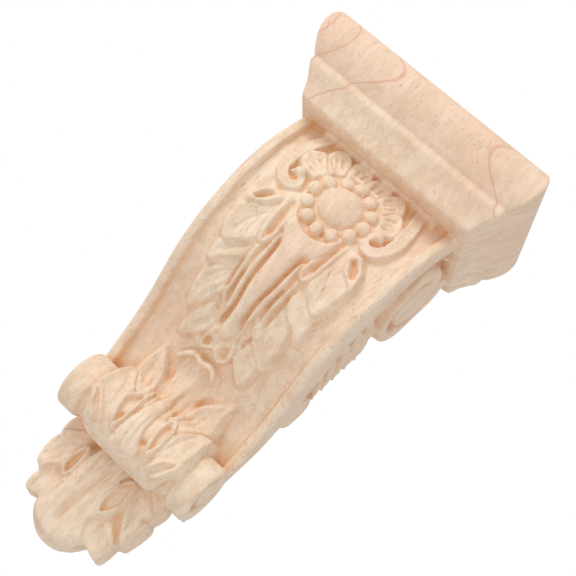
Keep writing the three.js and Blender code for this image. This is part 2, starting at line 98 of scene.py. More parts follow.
def curve_through(points: Sequence[Sequence[float]], count: int) -> Array:
    """Points along a smooth curve through the given ones.

    Args:
        points: the points the curve goes through, in order.
        count: how many points to return.

    Returns:
        An array of count points.
    """
    knots = np.asarray(points, float)
    place = np.linspace(0, len(knots) - 1, count)
    i = np.minimum(place.astype(int), len(knots) - 2)
    w = (place - i)[:, None]
    before, start = knots[np.maximum(i - 1, 0)], knots[i]
    end, after = knots[i + 1], knots[np.minimum(i + 2, len(knots) - 1)]
    leave, arrive = (end - before) / 2, (after - start) / 2
    cubic = 2 * start - 2 * end + leave + arrive
    square = 3 * end - 3 * start - 2 * leave - arrive
    return cubic * w**3 + square * w**2 + leave * w + start


def ring_through(points: Outline) -> Array:
    """A smooth closed curve through the given points."""
    wrapped = (points[-1], *points, points[0], points[1])
    return curve_through(wrapped, RING_STEPS * (len(wrapped) - 1) + 1)[RING_STEPS:-RING_STEPS]


def mirrored(spine: Spine, side: float) -> Spine:
    """A line on the right as it is, for a side of 1, or its mirror image, for -1."""
    return tuple((side * across, down) for across, down in spine)


def inset_of(ring: Array, across: Array, down: Array) -> Array:
    """How far places lie inside a closed outline, negative outside it.

    Args:
        ring: the outline's points.
        across: the places' first coordinate.
        down: their second coordinate.

    Returns:
        The distances.
    """
    inside = np.zeros(across.shape, bool)
    best = np.full(across.shape, FAR)
    for (x0, y0), (x1, y1) in zip(ring, np.roll(ring, -1, 0)):
        dx, dy = x1 - x0, y1 - y0
        share = ((across - x0) * dx + (down - y0) * dy) / (dx * dx + dy * dy + 1e-12)
        share = np.clip(share, 0, 1)
        best = np.minimum(best, np.hypot(across - x0 - share * dx, down - y0 - share * dy))
        crosses = (y0 > down) != (y1 > down)
        meet = x0 + (down - y0) * dx / (dy if abs(dy) > TINY else TINY)
        inside ^= crosses & (across < meet)
    return np.where(inside, best, -best)


@dataclass(frozen=True)
class Levels:
    """Heights of the corbel's main lines, measured from the middle of its length."""

    fillet: float = 93.65
    lip: float = 78.4
    body_top: float = 76.1
    body_foot: float = -43.9
    scroll: float = -58.9
    tail_tip: float = -114.4


@dataclass(frozen=True)
class Side:
    """The body's outline seen from the side and from the front."""

    levels: Levels = Levels()
    top_width: float = 81.7
    foot_width: float = 72.1
    panel_sink: float = 2.75
    shares: tuple[float, ...] = (-0.1, 0.0, 0.19, 0.4, 0.6, 0.81, 1.0, 1.1)
    depths: tuple[float, ...] = (49.38, 55.8, 66.2, 66.8, 57.62, 36.29, 23.7, 19.43)

    def front(self, height: Array) -> Array:
        """Depth of the raised border's front at a height."""
        span = self.levels.body_top - self.levels.body_foot
        knots = [(d, self.levels.body_top - s * span) for s, d in zip(self.shares, self.depths)]
        line = curve_through(knots, 400)[::-1]
        return np.interp(height, line[:, 1], line[:, 0])

    def panel(self, height: Array) -> Array:
        """Depth of the sunk panel at a height."""
        slope = self.front(height + 0.5) - self.front(height - 0.5)
        return self.front(height) - self.panel_sink * np.hypot(1.0, slope)

    def half_width(self, height: Array) -> Array:
        """Half the body's width at a height."""
        share = (self.levels.body_top - height) / (self.levels.body_top - self.levels.body_foot)
        return (self.top_width + (self.foot_width - self.top_width) * share) / 2


@dataclass
class Track:
    """A line down the front, seen from the side, that carving is laid out along.

    The fields hold distance down the line, depth and height of each of its points.
    """

    down: Array
    depth: Array
    height: Array

    @classmethod
    def along(cls, depth: Array, height: Array, zero: int = 0) -> "Track":
        """A track whose distances run from the point numbered zero."""
        steps = np.hypot(np.diff(depth), np.diff(height))
        down = np.concatenate([[0.0], np.cumsum(steps)])
        return cls(down - down[zero], depth, height)

    def at(self, down: Array) -> tuple[Array, Array]:
        """Depth and height at distances down the track."""
        return np.interp(down, self.down, self.depth), np.interp(down, self.down, self.height)

    def outward(self, down: Array, reach: float = 0.6) -> tuple[Array, Array]:
        """The track's outward direction, as shares of depth and height."""
        (d0, h0), (d1, h1) = self.at(down - reach), self.at(down + reach)
        length = np.hypot(d1 - d0, h1 - h0) + 1e-9
        return (h0 - h1) / length, (d1 - d0) / length

    def place(self, across: Array, down: Array, rise: Array) -> Array:
        """Points that stand out from the track by a rise."""
        depth, height = self.at(down)
        out_depth, out_height = self.outward(down)
        return np.stack([across, -(depth + out_depth * rise), height + out_height * rise], -1)


class Section(Enum):
    """How a carved form is shaped across its width."""

    DISHED = "raised rims with a hollow between them"
    ROUND = "a rounded ridge"


BLADE = ((0, 0.6), (0.3, 0.95), (0.55, 1.0), (0.8, 0.66), (1, 0.08))
BAND = ((0, 0.9), (0.6, 1.0), (0.85, 0.9), (1, 0.6))
ROLLED = ((0, 1.0), (0.5, 1.0), (0.66, 0.78), (0.82, 0.62), (1, 0.55))
FINGER = ((0, 0.5), (0.3, 0.95), (0.8, 1.0), (1, 0.55))
SWELL = ((0, 0.85), (0.2, 1.0), (0.9, 1.0), (1, 0.75))


@dataclass(frozen=True)
class Stroke:
    """A carved form along a line: a leaf, a frond, a rib or a band.

    spine is its line in the carving's own grid, width its greatest width and rise its height. Along
    the line, outline says how its width changes. lean lifts one edge above the other, dish is how
    far its middle is hollowed, and flank is how wide its steep edge is.
    """

    spine: Spine
    width: float
    rise: float
    outline: Profile
    section: Section = Section.ROUND
    dish: float = 0.4
    lean: float = 0.0
    flank: float = 0.9

    def across(self, u: Array) -> Array:
        """Height as a share of the rise, across the form from -1 to 1."""
        away = np.abs(u)
        if self.section is Section.DISHED:
            form = 1 - self.dish * (1 - away**2.2)
        else:
            form = 1 - self.dish * away**2.0
        return form * (1 + self.lean * u)


@dataclass(frozen=True)
class Leaf:
    """A carved leaf inside a closed outline: a raised rim round a hollow, over what lies beneath.

    rise is the rim's height, hollow how far the middle falls below it and rim how wide that fall
    is. lean is how much the leaf climbs for each millimetre across and down from its middle, steep
    the slope of its outer edge, and cut the depth of the line that parts it from what lies beneath.
    Within reach of its root the leaf melts into what lies there. The last five are the height and
    width of the rounding along its edge, where the rim's fall starts, and the place and width of
    the parting line.
    """

    outline: Outline = ()
    rise: float = 3.5
    hollow: float = 1.1
    rim: float = 2.6
    lean: Point = (0.0, 0.0)
    steep: float = 2.2
    cut: float = 1.2
    root: Point = (0.0, 0.0)
    reach: float = 0.0
    round_height: float = 0.35
    round_width: float = 0.7
    rim_start: float = 0.4
    cut_place: float = 0.55
    cut_width: float = 0.5


@dataclass
class Carving:
    """A height map over a grid of distances across and down, which forms are carved into."""

    across: Array
    down: Array
    height: Array

    @classmethod
    def blank(cls, across: Array, down: Array, level: Union[float, Array] = 0.0) -> "Carving":
        """A carving with no form on it yet."""
        return cls(across, down, np.zeros_like(across) + level)

    def window(self, points: Array, margin: float) -> Array:
        """Which places lie within a margin of the box round some points."""
        low, high = points.min(0) - margin, points.max(0) + margin
        beside = (self.across > low[0]) & (self.across < high[0])
        return beside & (self.down > low[1]) & (self.down < high[1])

    def nearest(self, line: Array, near: Array) -> tuple[Array, Array, Array]:
        """Where the places of a window lie beside a line.

        Args:
            line: the line's points.
            near: the window.

        Returns:
            The share along the line, the distance from it, and the side, -1 or 1.
        """
        place = np.stack([self.across[near], self.down[near]], -1)
        tangent = np.gradient(line, axis=0)
        best = np.full(len(place), FAR)
        which = np.zeros(len(place), int)
        for i, point in enumerate(line):
            gap = np.hypot(place[:, 0] - point[0], place[:, 1] - point[1])
            closer = gap < best
            best[closer], which[closer] = gap[closer], i
        step = place - line[which]
        way = tangent[which] / (np.hypot(*tangent[which].T)[:, None] + TINY)
        run = (step * way).sum(-1)
        side = np.sign(step[:, 0] * way[:, 1] - step[:, 1] * way[:, 0])
        inner = (which > 0) & (which < len(line) - 1)
        flat = np.sqrt(np.maximum(best**2 - run**2, 0.0))
        length = np.hypot(*np.diff(line, axis=0).T).sum()
        share = which / (len(line) - 1) + np.where(inner, run / length, 0.0)
        return np.clip(share, 0, 1), np.where(inner, flat, best), side

    def lay(self, stroke: Stroke, least: float = 0.05) -> None:
        """Carves a stroke over what is there, nowhere narrower than twice the least half-width."""
        line = curve_through(stroke.spine, 64)
        near = self.window(line, stroke.width / 2 + stroke.flank)
        share, gap, side = self.nearest(line, near)
        half = np.maximum(stroke.width / 2 * read(stroke.outline, share), least)
        u = side * gap / half
        mask = smooth((half - gap) / stroke.flank)
        top = stroke.rise * read(SWELL, share) * stroke.across(np.clip(u, -1, 1))
        now = self.height[near]
        laid = np.maximum(now * (1 - mask) + top * mask, 0.0)
        self.height[near] = np.where(mask > 0, laid, now)

    def fill(self, leaf: Leaf, margin: float = 2.0, faint: float = 1.6) -> None:
        """Carves a leaf over what is there.

        Args:
            leaf: the leaf.
            margin: how far beyond its steep edge the leaf has an effect.
            faint: the height of what lies beneath, under which the parting line grows faint.
        """
        ring = ring_through(leaf.outline)
        near = self.window(ring, margin + leaf.rise / leaf.steep)
        across, down = self.across[near], self.down[near]
        inset = inset_of(ring, across, down)
        middle = ring.mean(0)
        edge = leaf.rise + (across - middle[0]) * leaf.lean[0] + (down - middle[1]) * leaf.lean[1]
        rounded = leaf.round_height * (1 - np.clip(inset / leaf.round_width, 0, 1)) ** 2
        top = edge - leaf.hollow * smooth((inset - leaf.rim_start) / leaf.rim) - rounded
        now = self.height[near]
        line = np.exp(-(((inset + leaf.cut_place) / leaf.cut_width) ** 2))
        parted = now - leaf.cut * line * smooth(now / faint)
        outside = np.maximum(parted, edge - leaf.round_height + leaf.steep * inset)
        carved = np.where(inset > 0, top, outside)
        if leaf.reach:
            gap = np.hypot(across - leaf.root[0], down - leaf.root[1])
            carved = now + (carved - now) * smooth(gap / leaf.reach)
        self.height[near] = carved

    def fill_all(self, fronds: Sequence[Frond], form: Leaf, tilt: float = 0.0) -> None:
        """Carves leaves of one form.

        Args:
            fronds: the root, the reach and the outline of each.
            form: what they have in common.
            tilt: how much each climbs away from the middle, for each millimetre across.
        """
        for root, reach, outline in fronds:
            lean = (math.copysign(tilt, tilt * root[0]), form.lean[1]) if tilt else form.lean
            self.fill(replace(form, outline=outline, root=root, reach=reach, lean=lean))

    def groove(self, spine: Spine, width: float, depth: float, ends: float = 0.15) -> None:
        """Cuts a rounded groove that runs out at its ends, or raises a ridge by a depth below 0."""
        line = curve_through(spine, 48)
        near = self.window(line, width * 2)
        share, gap, _ = self.nearest(line, near)
        fade = smooth(share / ends) * smooth((1 - share) / ends)
        self.height[near] -= depth * fade * np.exp(-((gap / (width / 2)) ** 2))

    def grooves(self, spines: Sequence[Spine], width: float, depth: float, ends: float) -> None:
        """Cuts grooves of one kind."""
        for spine in spines:
            self.groove(spine, width, depth, ends)

    def dome(self, at: Point, radius: float, base: float, rise: float, power: float = 0.5) -> None:
        """Raises a round boss or pearl."""
        gap = np.hypot(self.across - at[0], self.down - at[1])
        top = base + rise * np.maximum(1 - (gap / radius) ** 2, 0) ** power
        edge = smooth((radius - gap) / 0.5)
        self.height = np.where(gap < radius, np.maximum(self.height, top * edge), self.height)

    def pit(self, at: Point, radius: float, depth: float) -> None:
        """Sinks a small round hollow."""
        gap = np.hypot(self.across - at[0], self.down - at[1])
        self.height = self.height - depth * np.exp(-((gap / radius) ** 2))

    def pits(self, holes: Sequence[Hole]) -> None:
        """Sinks hollows, given as a place, a radius and a depth each."""
        for hole in holes:
            self.pit(*hole)


def grid(columns: int, rows: int, place: Callable[[Array, Array], Array]) -> bmesh.types.BMesh:
    """A sheet of quads, mapped from the unit square.

    Args:
        columns: faces along the first direction.
        rows: faces along the second.
        place: gives the points for shares along the two directions.

    Returns:
        The sheet.
    """
    bm = bmesh.new()
    bmesh.ops.create_grid(bm, x_segments=columns, y_segments=rows, size=0.5)
    flat = np.array([v.co[:2] for v in bm.verts]) + 0.5
    for vert, co in zip(bm.verts, place(flat[:, 0], flat[:, 1])):
        vert.co = co
    return bm


def close_ends(bm: bmesh.types.BMesh) -> None:
    """Merges a tube's seam and fills its open ends."""
    bmesh.ops.remove_doubles(bm, verts=bm.verts[:], dist=MERGE)
    rims = [e for e in bm.edges if e.is_boundary]
    bmesh.ops.holes_fill(bm, edges=rims, sides=0)
    bmesh.ops.recalc_face_normals(bm, faces=bm.faces[:])


def back_with(bm: bmesh.types.BMesh, place: Callable[[Array], Array]) -> None:
    """Gives a sheet a thickness: a second layer behind it and a wall round its edge.

    Args:
        bm: the sheet.
        place: moves the second layer's points to where they belong.
    """
    made = bmesh.ops.extrude_face_region(bm, geom=bm.faces[:])
    verts = [g for g in made["geom"] if isinstance(g, bmesh.types.BMVert)]
    moved = place(np.array([v.co[:] for v in verts]))
    for vert, co in zip(verts, moved):
        vert.co = co
    bmesh.ops.recalc_face_normals(bm, faces=bm.faces[:])


def cut_at_wall(bm: bmesh.types.BMesh) -> None:
    """Removes what lies behind the wall's plane and closes the cut."""
    geometry = bm.verts[:] + bm.edges[:] + bm.faces[:]
    bmesh.ops.bisect_plane(
        bm, geom=geometry, dist=1e-5, plane_co=(0, 0, 0), plane_no=(0, 1, 0), clear_outer=True
    )
    rims = [e for e in bm.edges if e.is_boundary]
    bmesh.ops.holes_fill(bm, edges=rims, sides=0)
    bmesh.ops.recalc_face_normals(bm, faces=bm.faces[:])


@dataclass
class Cap:
    """The cap moulding: a rectangle drawn down its profile, mitred at the front corners."""

    levels: Levels = Levels()
    lip_half_width: float = 43.5
    lip_depth: float = 66.4
    profile: Profile = (
        (9.3, 20.75), (9.9, 20.5), (10.9, 19.3), (11.7, 17.9), (12.2, 16.4), (12.45, 14.8),
        (12.5, 13.0), (12.45, 11.6), (12.2, 9.9), (11.8, 8.4), (11.2, 6.7), (10.4, 5.0), (9.5, 3.5),
        (8.6, 2.1), (7.7, 0.9), (7.0, 0.25), (6.6, 0.05), (6.5, -0.3), (6.45, -2.7), (6.2, -3.3),
        (5.4, -4.6), (4.4, -6.0), (3.4, -7.5), (2.5, -9.1), (1.8, -10.6), (1.2, -12.2),
        (0.7, -13.4), (0.2, -14.4), (-0.5, -14.9), (-1.3, -15.0), (-1.9, -15.3), (-2.5, -15.1),
        (-3.1, -14.5), (-3.8, -14.6), (-4.4, -14.3), (-5.0, -13.7), (-9.0, -13.2),
    )

    def build(self) -> bmesh.types.BMesh:
        """The cap as one closed form."""
        bm = grid(1, 1, lambda u, v: np.stack([2 * u - 1, -v, u * 0], -1))
        faces, verts = bm.faces[:], bm.verts[:]
        for reach, height in self.profile:
            for vert in verts:
                vert.co = (
                    math.copysign(self.lip_half_width + reach, vert.co.x),
                    -(self.lip_depth + reach) if vert.co.y < -0.5 else 0.0,
                    self.levels.fillet + height,
                )
            made = bmesh.ops.extrude_face_region(bm, geom=faces)["geom"]
            verts = [g for g in made if isinstance(g, bmesh.types.BMVert)]
            faces = [g for g in made if isinstance(g, bmesh.types.BMFace)]
        bmesh.ops.remove_doubles(bm, verts=bm.verts[:], dist=MERGE)
        bmesh.ops.recalc_face_normals(bm, faces=bm.faces[:])
        return bm


@dataclass(frozen=True)
class Steps:
    """Small steps under the cap, between the two corner pockets."""

    half_width: float = 31.5
    fade: float = 5.0
    rows: Profile = ((0.05, 7.9), (0.5, 6.6), (0.95, 5.3), (1.4, 4.0))

    def carve(self, carving: Carving) -> None:
        """Carves them, each row ending a little lower than the one above it."""
        middle = smooth((self.half_width - np.abs(carving.across)) / self.fade)
        for end, rise in self.rows:
            step = rise * smooth((end - carving.down) / 0.4) * middle
            carving.height = np.maximum(carving.height, step)


@dataclass(frozen=True)
class Petals:
    """The six fluted petals above the boss."""

    form: Leaf = Leaf(rise=3.2, hollow=0.5, rim=2.4, cut=1.5)
    holes: Profile = ((-11.3, 1.0), (-0.2, 1.2), (10.2, 1.0))
    outlines: tuple[Outline, ...] = (
        ((-10.3, 3.5), (-8.7, 1.2), (-6.2, 0.5), (-3.0, 1.2), (-0.6, 3.0), (0.0, 9), (-1, 14),
         (-6, 16), (-9, 10)),
        ((0.2, 3.0), (1.7, 1.1), (4.6, 0.4), (7.9, 1.0), (9.8, 3.4), (8.8, 9), (7, 14), (3, 14),
         (0.2, 9)),
        ((-19.4, 10.3), (-19.8, 6.8), (-18.7, 3.2), (-16.5, 1.7), (-13.7, 2.4), (-11.3, 4.7),
         (-9.6, 9.5), (-7.5, 15.5), (-10.5, 18.5), (-15.2, 15.2)),
        ((18.9, 9.6), (17.6, 4.7), (15.2, 2.0), (12.4, 1.7), (10.4, 3.3), (8.4, 9.5), (8.5, 15.0),
         (11.5, 18), (15.3, 14.8)),
        ((-20.0, 10.6), (-23.0, 11.6), (-24.9, 14.8), (-25.1, 18.6), (-24.2, 21.8), (-21.3, 23.6),
         (-15, 24), (-11, 22.5), (-11.5, 19), (-15.6, 16.4)),
        ((18.6, 10.6), (21.3, 11.8), (23.3, 15.0), (24.4, 18.4), (24.2, 21.8), (21.6, 23.8),
         (16.5, 24.4), (13.4, 22.5), (13.0, 19), (15.6, 16.2)),
    )
    flutes: tuple[Spine, ...] = (
        ((-21.6, 18.0), (-16.4, 19.6)), ((-20.4, 21.3), (-16.0, 21.8)),
        ((-20.8, 14.8), (-16.2, 17.2)), ((-17.6, 6.3), (-12.2, 13.2)),
        ((-15.0, 5.3), (-10.8, 11.8)), ((-18.2, 9.6), (-13.8, 14.2)), ((14.1, 6.4), (10.8, 12.0)),
        ((16.4, 8.0), (12.6, 13.6)), ((12.2, 4.9), (9.8, 10.2)), ((20.8, 13.8), (16.4, 17.4)),
        ((22.2, 17.4), (17.2, 19.2)), ((21.8, 20.6), (17.4, 21.2)), ((-6.8, 3.6), (-5.6, 9.4)),
        ((-3.2, 3.4), (-3.4, 9.0)), ((2.8, 3.6), (3.0, 10.0)), ((6.2, 3.6), (5.6, 10.0)),
    )

    def carve(self, carving: Carving) -> None:
        """Carves the petals, their flutes and the holes between them."""
        for outline in self.outlines:
            carving.fill(replace(self.form, outline=outline))
        for outer, inner in self.flutes:
            middle = ((outer[0] + inner[0]) / 2, (outer[1] + inner[1]) / 2)
            carving.groove((outer, middle, inner), width=1.2, depth=1.4, ends=0.25)
        for hole in self.holes:
            carving.pit(hole, radius=1.3, depth=3.0)


@dataclass(frozen=True)
class CornerScrolls:
    """The two C-scrolls, each rolled up round a deep eye."""

    width: float = 6.3
    rise: float = 3.7
    dish: float = 0.34
    lean: float = 0.14
    knob: Point = (20.7, 26.3)
    right: Spine = (
        (23.0, -3), (25.2, 7), (27.2, 16), (27.8, 23), (26.2, 28.6), (23.4, 32.0), (19.9, 32.6),
        (17.5, 30.0), (18.1, 27.0), (20.6, 25.6), (22.6, 27.0),
    )
    left: Spine = (
        (-25.2, -3), (-26.8, 7), (-28.2, 16), (-28.0, 23.5), (-26.4, 29.0), (-23.6, 32.4),
        (-20.2, 33.2), (-17.8, 30.8), (-18.4, 27.6), (-20.8, 25.8), (-23.2, 27.2),
    )
    right_eye: Point = (21.0, 29.0)
    left_eye: Point = (-21.4, 29.3)

    def carve(self, carving: Carving) -> None:
        """Carves both."""
        for side, spine, eye in ((1, self.right, self.right_eye), (-1, self.left, self.left_eye)):
            carving.lay(Stroke(
                spine, self.width, self.rise, ROLLED, Section.DISHED, self.dish,
                lean=-self.lean * side, flank=1.0,
            ))
            carving.dome((self.knob[0] * side, self.knob[1]), radius=2.9, base=1.6, rise=2.6)
            carving.pit(eye, radius=1.25, depth=4.2)
            carving.pit((eye[0] + 1.5 * side, eye[1] - 0.6), radius=1.0, depth=2.4)


@dataclass(frozen=True)
class Rosette:
    """The boss and its ring of pearls."""

    boss: Point = (1.2, 26.2)
    ring_radius: float = 16.4
    ring_height: float = 1.3
    pearls: Profile = (
        (-4.9, 15.2), (0.8, 12.9), (7.1, 15.4), (12.3, 20.8), (13.9, 27.2), (12.2, 33.3),
        (7.1, 37.9), (0.9, 39.6), (-5.4, 37.9), (-10.1, 33.2), (-11.8, 26.9), (-9.9, 20.8),
    )
    holes: Profile = (
        (9.8, 17.6), (9.4, 36.4), (-2.2, 39.4), (4.2, 39.6), (14.0, 30.4), (4.0, 13.4),
        (-11.8, 30.2),
    )

    def carve(self, carving: Carving) -> None:
        """Carves the sunk ring, the pearls on it, the holes between them and the boss."""
        gap = np.hypot(carving.across - self.boss[0], carving.down - self.boss[1])
        ring = smooth((self.ring_radius - gap) / 1.0)
        carving.height = carving.height * (1 - ring) + self.ring_height * ring
        for pearl in self.pearls:
            carving.dome(pearl, radius=3.3, base=self.ring_height, rise=2.9)
        for hole in self.holes:
            carving.pit(hole, radius=0.9, depth=1.5)
        carving.dome(self.boss, radius=10.0, base=0.8, rise=1.4, power=0.3)
        carving.dome(self.boss, radius=9.4, base=1.4, rise=4.4, power=0.62)


@dataclass(frozen=True)
class Foliage:
    """The mound under the leaves and the pairs of leaves on it, from the lowest to the highest."""

    mound: Outline = (
        (-14, 33), (14, 33), (22, 42), (24, 55), (21.5, 74), (17.5, 92), (11, 105), (0, 107),
        (-11, 105), (-17.5, 92), (-21.5, 74), (-24.5, 55), (-22, 42),
    )
    leaves: tuple[Frond, ...] = (
        ((4, 86), 9.0, ((4.6, 92), (9.6, 86), (13.9, 91.5), (17.4, 95.0), (17.6, 101.6),
         (16.0, 107.7), (12.9, 105.6), (9.4, 101.5), (6.6, 97))),
        ((-4, 86), 9.0, ((-4.6, 90), (-10.5, 86), (-15.2, 93), (-17.2, 97.5), (-17.5, 102),
         (-17.0, 107.8), (-12.3, 103.9), (-9.2, 100.3), (-6.2, 95))),
        ((9, 69), 17.0, ((9, 71), (18.6, 75), (21.4, 83), (21.2, 89), (20.2, 95.2), (16.8, 93.5),
         (13.9, 91.3), (9.5, 87.5), (7.4, 81), (7.0, 75))),
        ((-9, 69), 17.0, ((-9, 71), (-19.4, 75), (-22.4, 83), (-21.8, 90), (-19.8, 95.6),
         (-16.3, 89.8), (-13.5, 84.5), (-11.0, 80), (-8.5, 75))),
        ((12, 53), 14.0, ((12, 56), (22, 61), (24.6, 66), (25.6, 71), (24.6, 77.6), (21.6, 74.0),
         (16.3, 71.4), (12.9, 66.6), (10.4, 61))),
        ((-12, 53), 14.0, ((-12, 56), (-22, 61), (-24.6, 66), (-25.0, 70.5), (-23.5, 74.6),
         (-20.6, 71.5), (-17.0, 68.8), (-13.6, 66), (-10.6, 61))),
        ((16, 35), 17.0, ((15.4, 36), (18.4, 37), (20.8, 42), (23.8, 46.5), (27.4, 49.6),
         (26.8, 53), (26.4, 57), (25.4, 61.2), (23.6, 65.0), (19.7, 63.1), (16.5, 59.9),
         (13.9, 55.7), (14.2, 50), (15.0, 43))),
        ((-16, 35), 17.0, ((-15.4, 36), (-18.4, 38), (-20.8, 43.6), (-24.2, 47), (-27.4, 49.6),
         (-28.2, 54), (-27.6, 59), (-25.8, 63.6), (-23.1, 65.4), (-20.5, 63.4), (-17.3, 61),
         (-14.4, 58), (-13.1, 53.5), (-14.4, 46))),
    )
    curls: tuple[Outline, ...] = (
        ((16.6, 36.6), (20, 37.2), (22.9, 37.8), (25.0, 40.3), (26.9, 42.6), (27.7, 46.4),
         (28.3, 49.8), (25.2, 47.6), (21.4, 45.5), (19.0, 41.5)),
        ((-16.6, 38.6), (-19.4, 38.6), (-22.4, 39.6), (-25.6, 41.8), (-27.1, 44.9), (-27.6, 48.6),
         (-24.2, 46.6), (-21.4, 45.4), (-18.8, 42)),
    )
    curl_root: Point = (16.0, 36.5)
    curl_hollow: Spine = ((20.2, 39.4), (23.2, 42.2), (25.4, 46.6))
    folds: tuple[Spine, ...] = (
        ((11.4, 76), (15.0, 83.6), (17.6, 89.4), (19.2, 93.4)), ((-12.4, 76), (-17.0, 84),
        (-19.4, 92.4)), ((8.4, 90), (12.0, 97.4), (15.2, 105)), ((-9.0, 90), (-13.2, 97),
        (-16.0, 105)),
    )
    veins: tuple[Spine, ...] = (
        ((12.6, 59), (17.6, 64.6), (23.2, 73)), ((-12.6, 59), (-18.0, 64.6), (-22.6, 71)),
        ((15.6, 44), (19.0, 51.6), (22.4, 61)), ((-15.6, 45), (-20.4, 52.4), (-23.6, 61.6)),
        ((9.2, 74), (12.2, 81.4), (16.0, 90.4)), ((-9.8, 74), (-13.4, 80.4), (-17.4, 88.4)),
        ((11.8, 72.6), (16.6, 78.8), (19.6, 86)), ((-12.8, 72), (-17.8, 77), (-20.8, 84)),
    )

    def carve(self, carving: Carving) -> None:
        """Carves the mound, the leaves, the turned-over tips, the folds and the veins."""
        carving.fill(Leaf(self.mound, rise=1.5, hollow=0.0, steep=0.5, cut=0.0))
        leaf = Leaf(rise=3.5, hollow=0.7, rim=4.6, lean=(0.0, 0.06), steep=1.5, cut=1.8)
        carving.fill_all(self.leaves, leaf, tilt=-0.03)
        curl = Leaf(rise=4.3, hollow=1.6, rim=2.2, lean=(0.0, 0.03), cut=1.8, reach=6.0)
        for outline in self.curls:
            side = math.copysign(1.0, outline[0][0])
            root = (side * self.curl_root[0], self.curl_root[1])
            carving.fill(replace(curl, outline=outline, root=root))
            carving.groove(mirrored(self.curl_hollow, side), width=2.0, depth=1.8)
        carving.grooves(self.folds, width=2.2, depth=-0.8, ends=0.3)
        carving.grooves(self.veins, width=1.5, depth=0.75, ends=0.3)


@dataclass(frozen=True)
class Husk:
    """The husk below the rosette, the ribs and narrow leaves beside it and its looped foot."""

    ribs: tuple[Cut, ...] = (
        (((10.9, 55), (10.4, 64), (9.2, 72), (9.2, 82)), 3.2, 3.3),
        (((-10.8, 55), (-10.8, 64), (-10.0, 74), (-9.6, 83)), 3.2, 3.3),
        (((7.2, 49), (6.8, 58), (6.3, 66), (5.2, 74), (4.8, 82), (4.9, 92)), 4.2, 3.8),
        (((-7.4, 49), (-6.9, 58), (-6.9, 68), (-6.1, 76), (-5.6, 84), (-6.0, 93)), 4.2, 3.8),
    )
    narrow: tuple[Outline, ...] = (
        ((10.9, 35), (10.9, 41), (10.4, 45.5), (8.9, 50), (8.6, 54), (9.4, 57.2), (11.3, 58.4),
         (13.3, 55.8), (14.3, 52.1), (14.8, 47), (15.2, 41), (15.4, 35)),
        ((-15.6, 35), (-15.5, 41), (-14.8, 47), (-14.2, 52.4), (-13.0, 56), (-11.3, 57.6),
         (-9.6, 55.6), (-8.6, 51), (-9.0, 46.5), (-10.4, 41), (-11.2, 35)),
    )
    narrow_root: Point = (13.2, 31)
    narrow_hollow: Spine = ((13.0, 36), (12.3, 44), (11.4, 54))
    foot: Outline = (
        (-3.4, 88), (-5.6, 95), (-7.3, 102.3), (-5.9, 105.2), (-4.0, 104.6), (-1.1, 102.6),
        (0.9, 104.2), (2.9, 106.0), (5.9, 104.5), (7.1, 100.2), (6.4, 95.5), (4.6, 90), (2.5, 87),
    )
    loops: tuple[tuple[Point, float], ...] = (
        ((-5.1, 100.4), 1.3), ((-5.3, 102.4), 1.5), ((3.5, 99.6), 1.5), ((3.5, 102.2), 1.9),
    )
    husk: Outline = (
        (-10.0, 39.0), (-7.2, 41.6), (-4.0, 43.3), (1.0, 44.3), (5.9, 43.2), (9.0, 41.3),
        (11.4, 38.8), (11.0, 43.6), (9.9, 47.4), (7.6, 50.8), (5.5, 53.5), (4.9, 57), (4.4, 62),
        (4.0, 68), (2.9, 73.4), (2.6, 80), (2.9, 86), (2.6, 93), (-1, 96), (-4.4, 93), (-3.7, 86),
        (-3.3, 80.5), (-4.0, 74.8), (-4.9, 68.5), (-4.8, 62), (-5.1, 55.5), (-5.9, 51.4),
        (-7.9, 47.3), (-9.4, 43),
    )
    edges: tuple[Spine, ...] = (
        ((-6.2, 50), (-5.3, 56), (-5.1, 65), (-4.7, 73), (-3.7, 80), (-3.8, 87), (-5.0, 95)),
        ((7.8, 49.8), (5.7, 53), (4.8, 60), (4.3, 67), (3.0, 74), (2.8, 82), (2.7, 91)),
    )
    clefts: tuple[Spine, ...] = (
        ((-9.4, 66), (-8.8, 73), (-8.2, 79), (-8.6, 86)), ((8.9, 64), (7.7, 71), (7.5, 77),
        (7.6, 83)), ((10.2, 86), (9.0, 90), (8.2, 95)), ((-11.4, 82), (-10.0, 86.4), (-8.4, 89)),
        ((13.0, 58), (11.8, 66), (11.2, 74), (11.0, 82)), ((-12.8, 58), (-12.4, 67), (-11.6, 75),
        (-11.0, 82)),
    )
    lip: Spine = ((-8.6, 41.9), (-4, 44.4), (1.1, 45.4), (6, 44.2), (10.2, 41.7))

    def carve(self, carving: Carving) -> None:
        """Carves the ribs, the narrow leaves, the foot, and the husk over them."""
        for spine, width, rise in self.ribs:
            carving.lay(Stroke(spine, width, rise, BLADE, dish=0.45, flank=0.8))
        narrow = Leaf(rise=4.0, hollow=2.0, rim=1.9, cut=1.6, reach=19.0)
        for outline in self.narrow:
            side = math.copysign(1.0, outline[0][0])
            root = (side * self.narrow_root[0], self.narrow_root[1])
            carving.fill(replace(narrow, outline=outline, root=root))
            carving.groove(mirrored(self.narrow_hollow, side), width=1.7, depth=1.6)
        foot = Leaf(self.foot, rise=4.4, hollow=0.9, rim=1.4, steep=3.0, cut=1.8)
        carving.fill(replace(foot, root=(0, 84), reach=13.0))
        for loop, size in self.loops:
            carving.pit(loop, size, depth=2.0)
        carving.fill(Leaf(self.husk, rise=3.9, hollow=-0.7, rim=3.2, steep=3.0, cut=1.0))
        carving.grooves(self.edges, width=1.7, depth=2.6, ends=0.12)
        carving.grooves(self.clefts, width=1.3, depth=1.9, ends=0.25)
        carving.groove(self.lip, width=2.0, depth=-0.6)


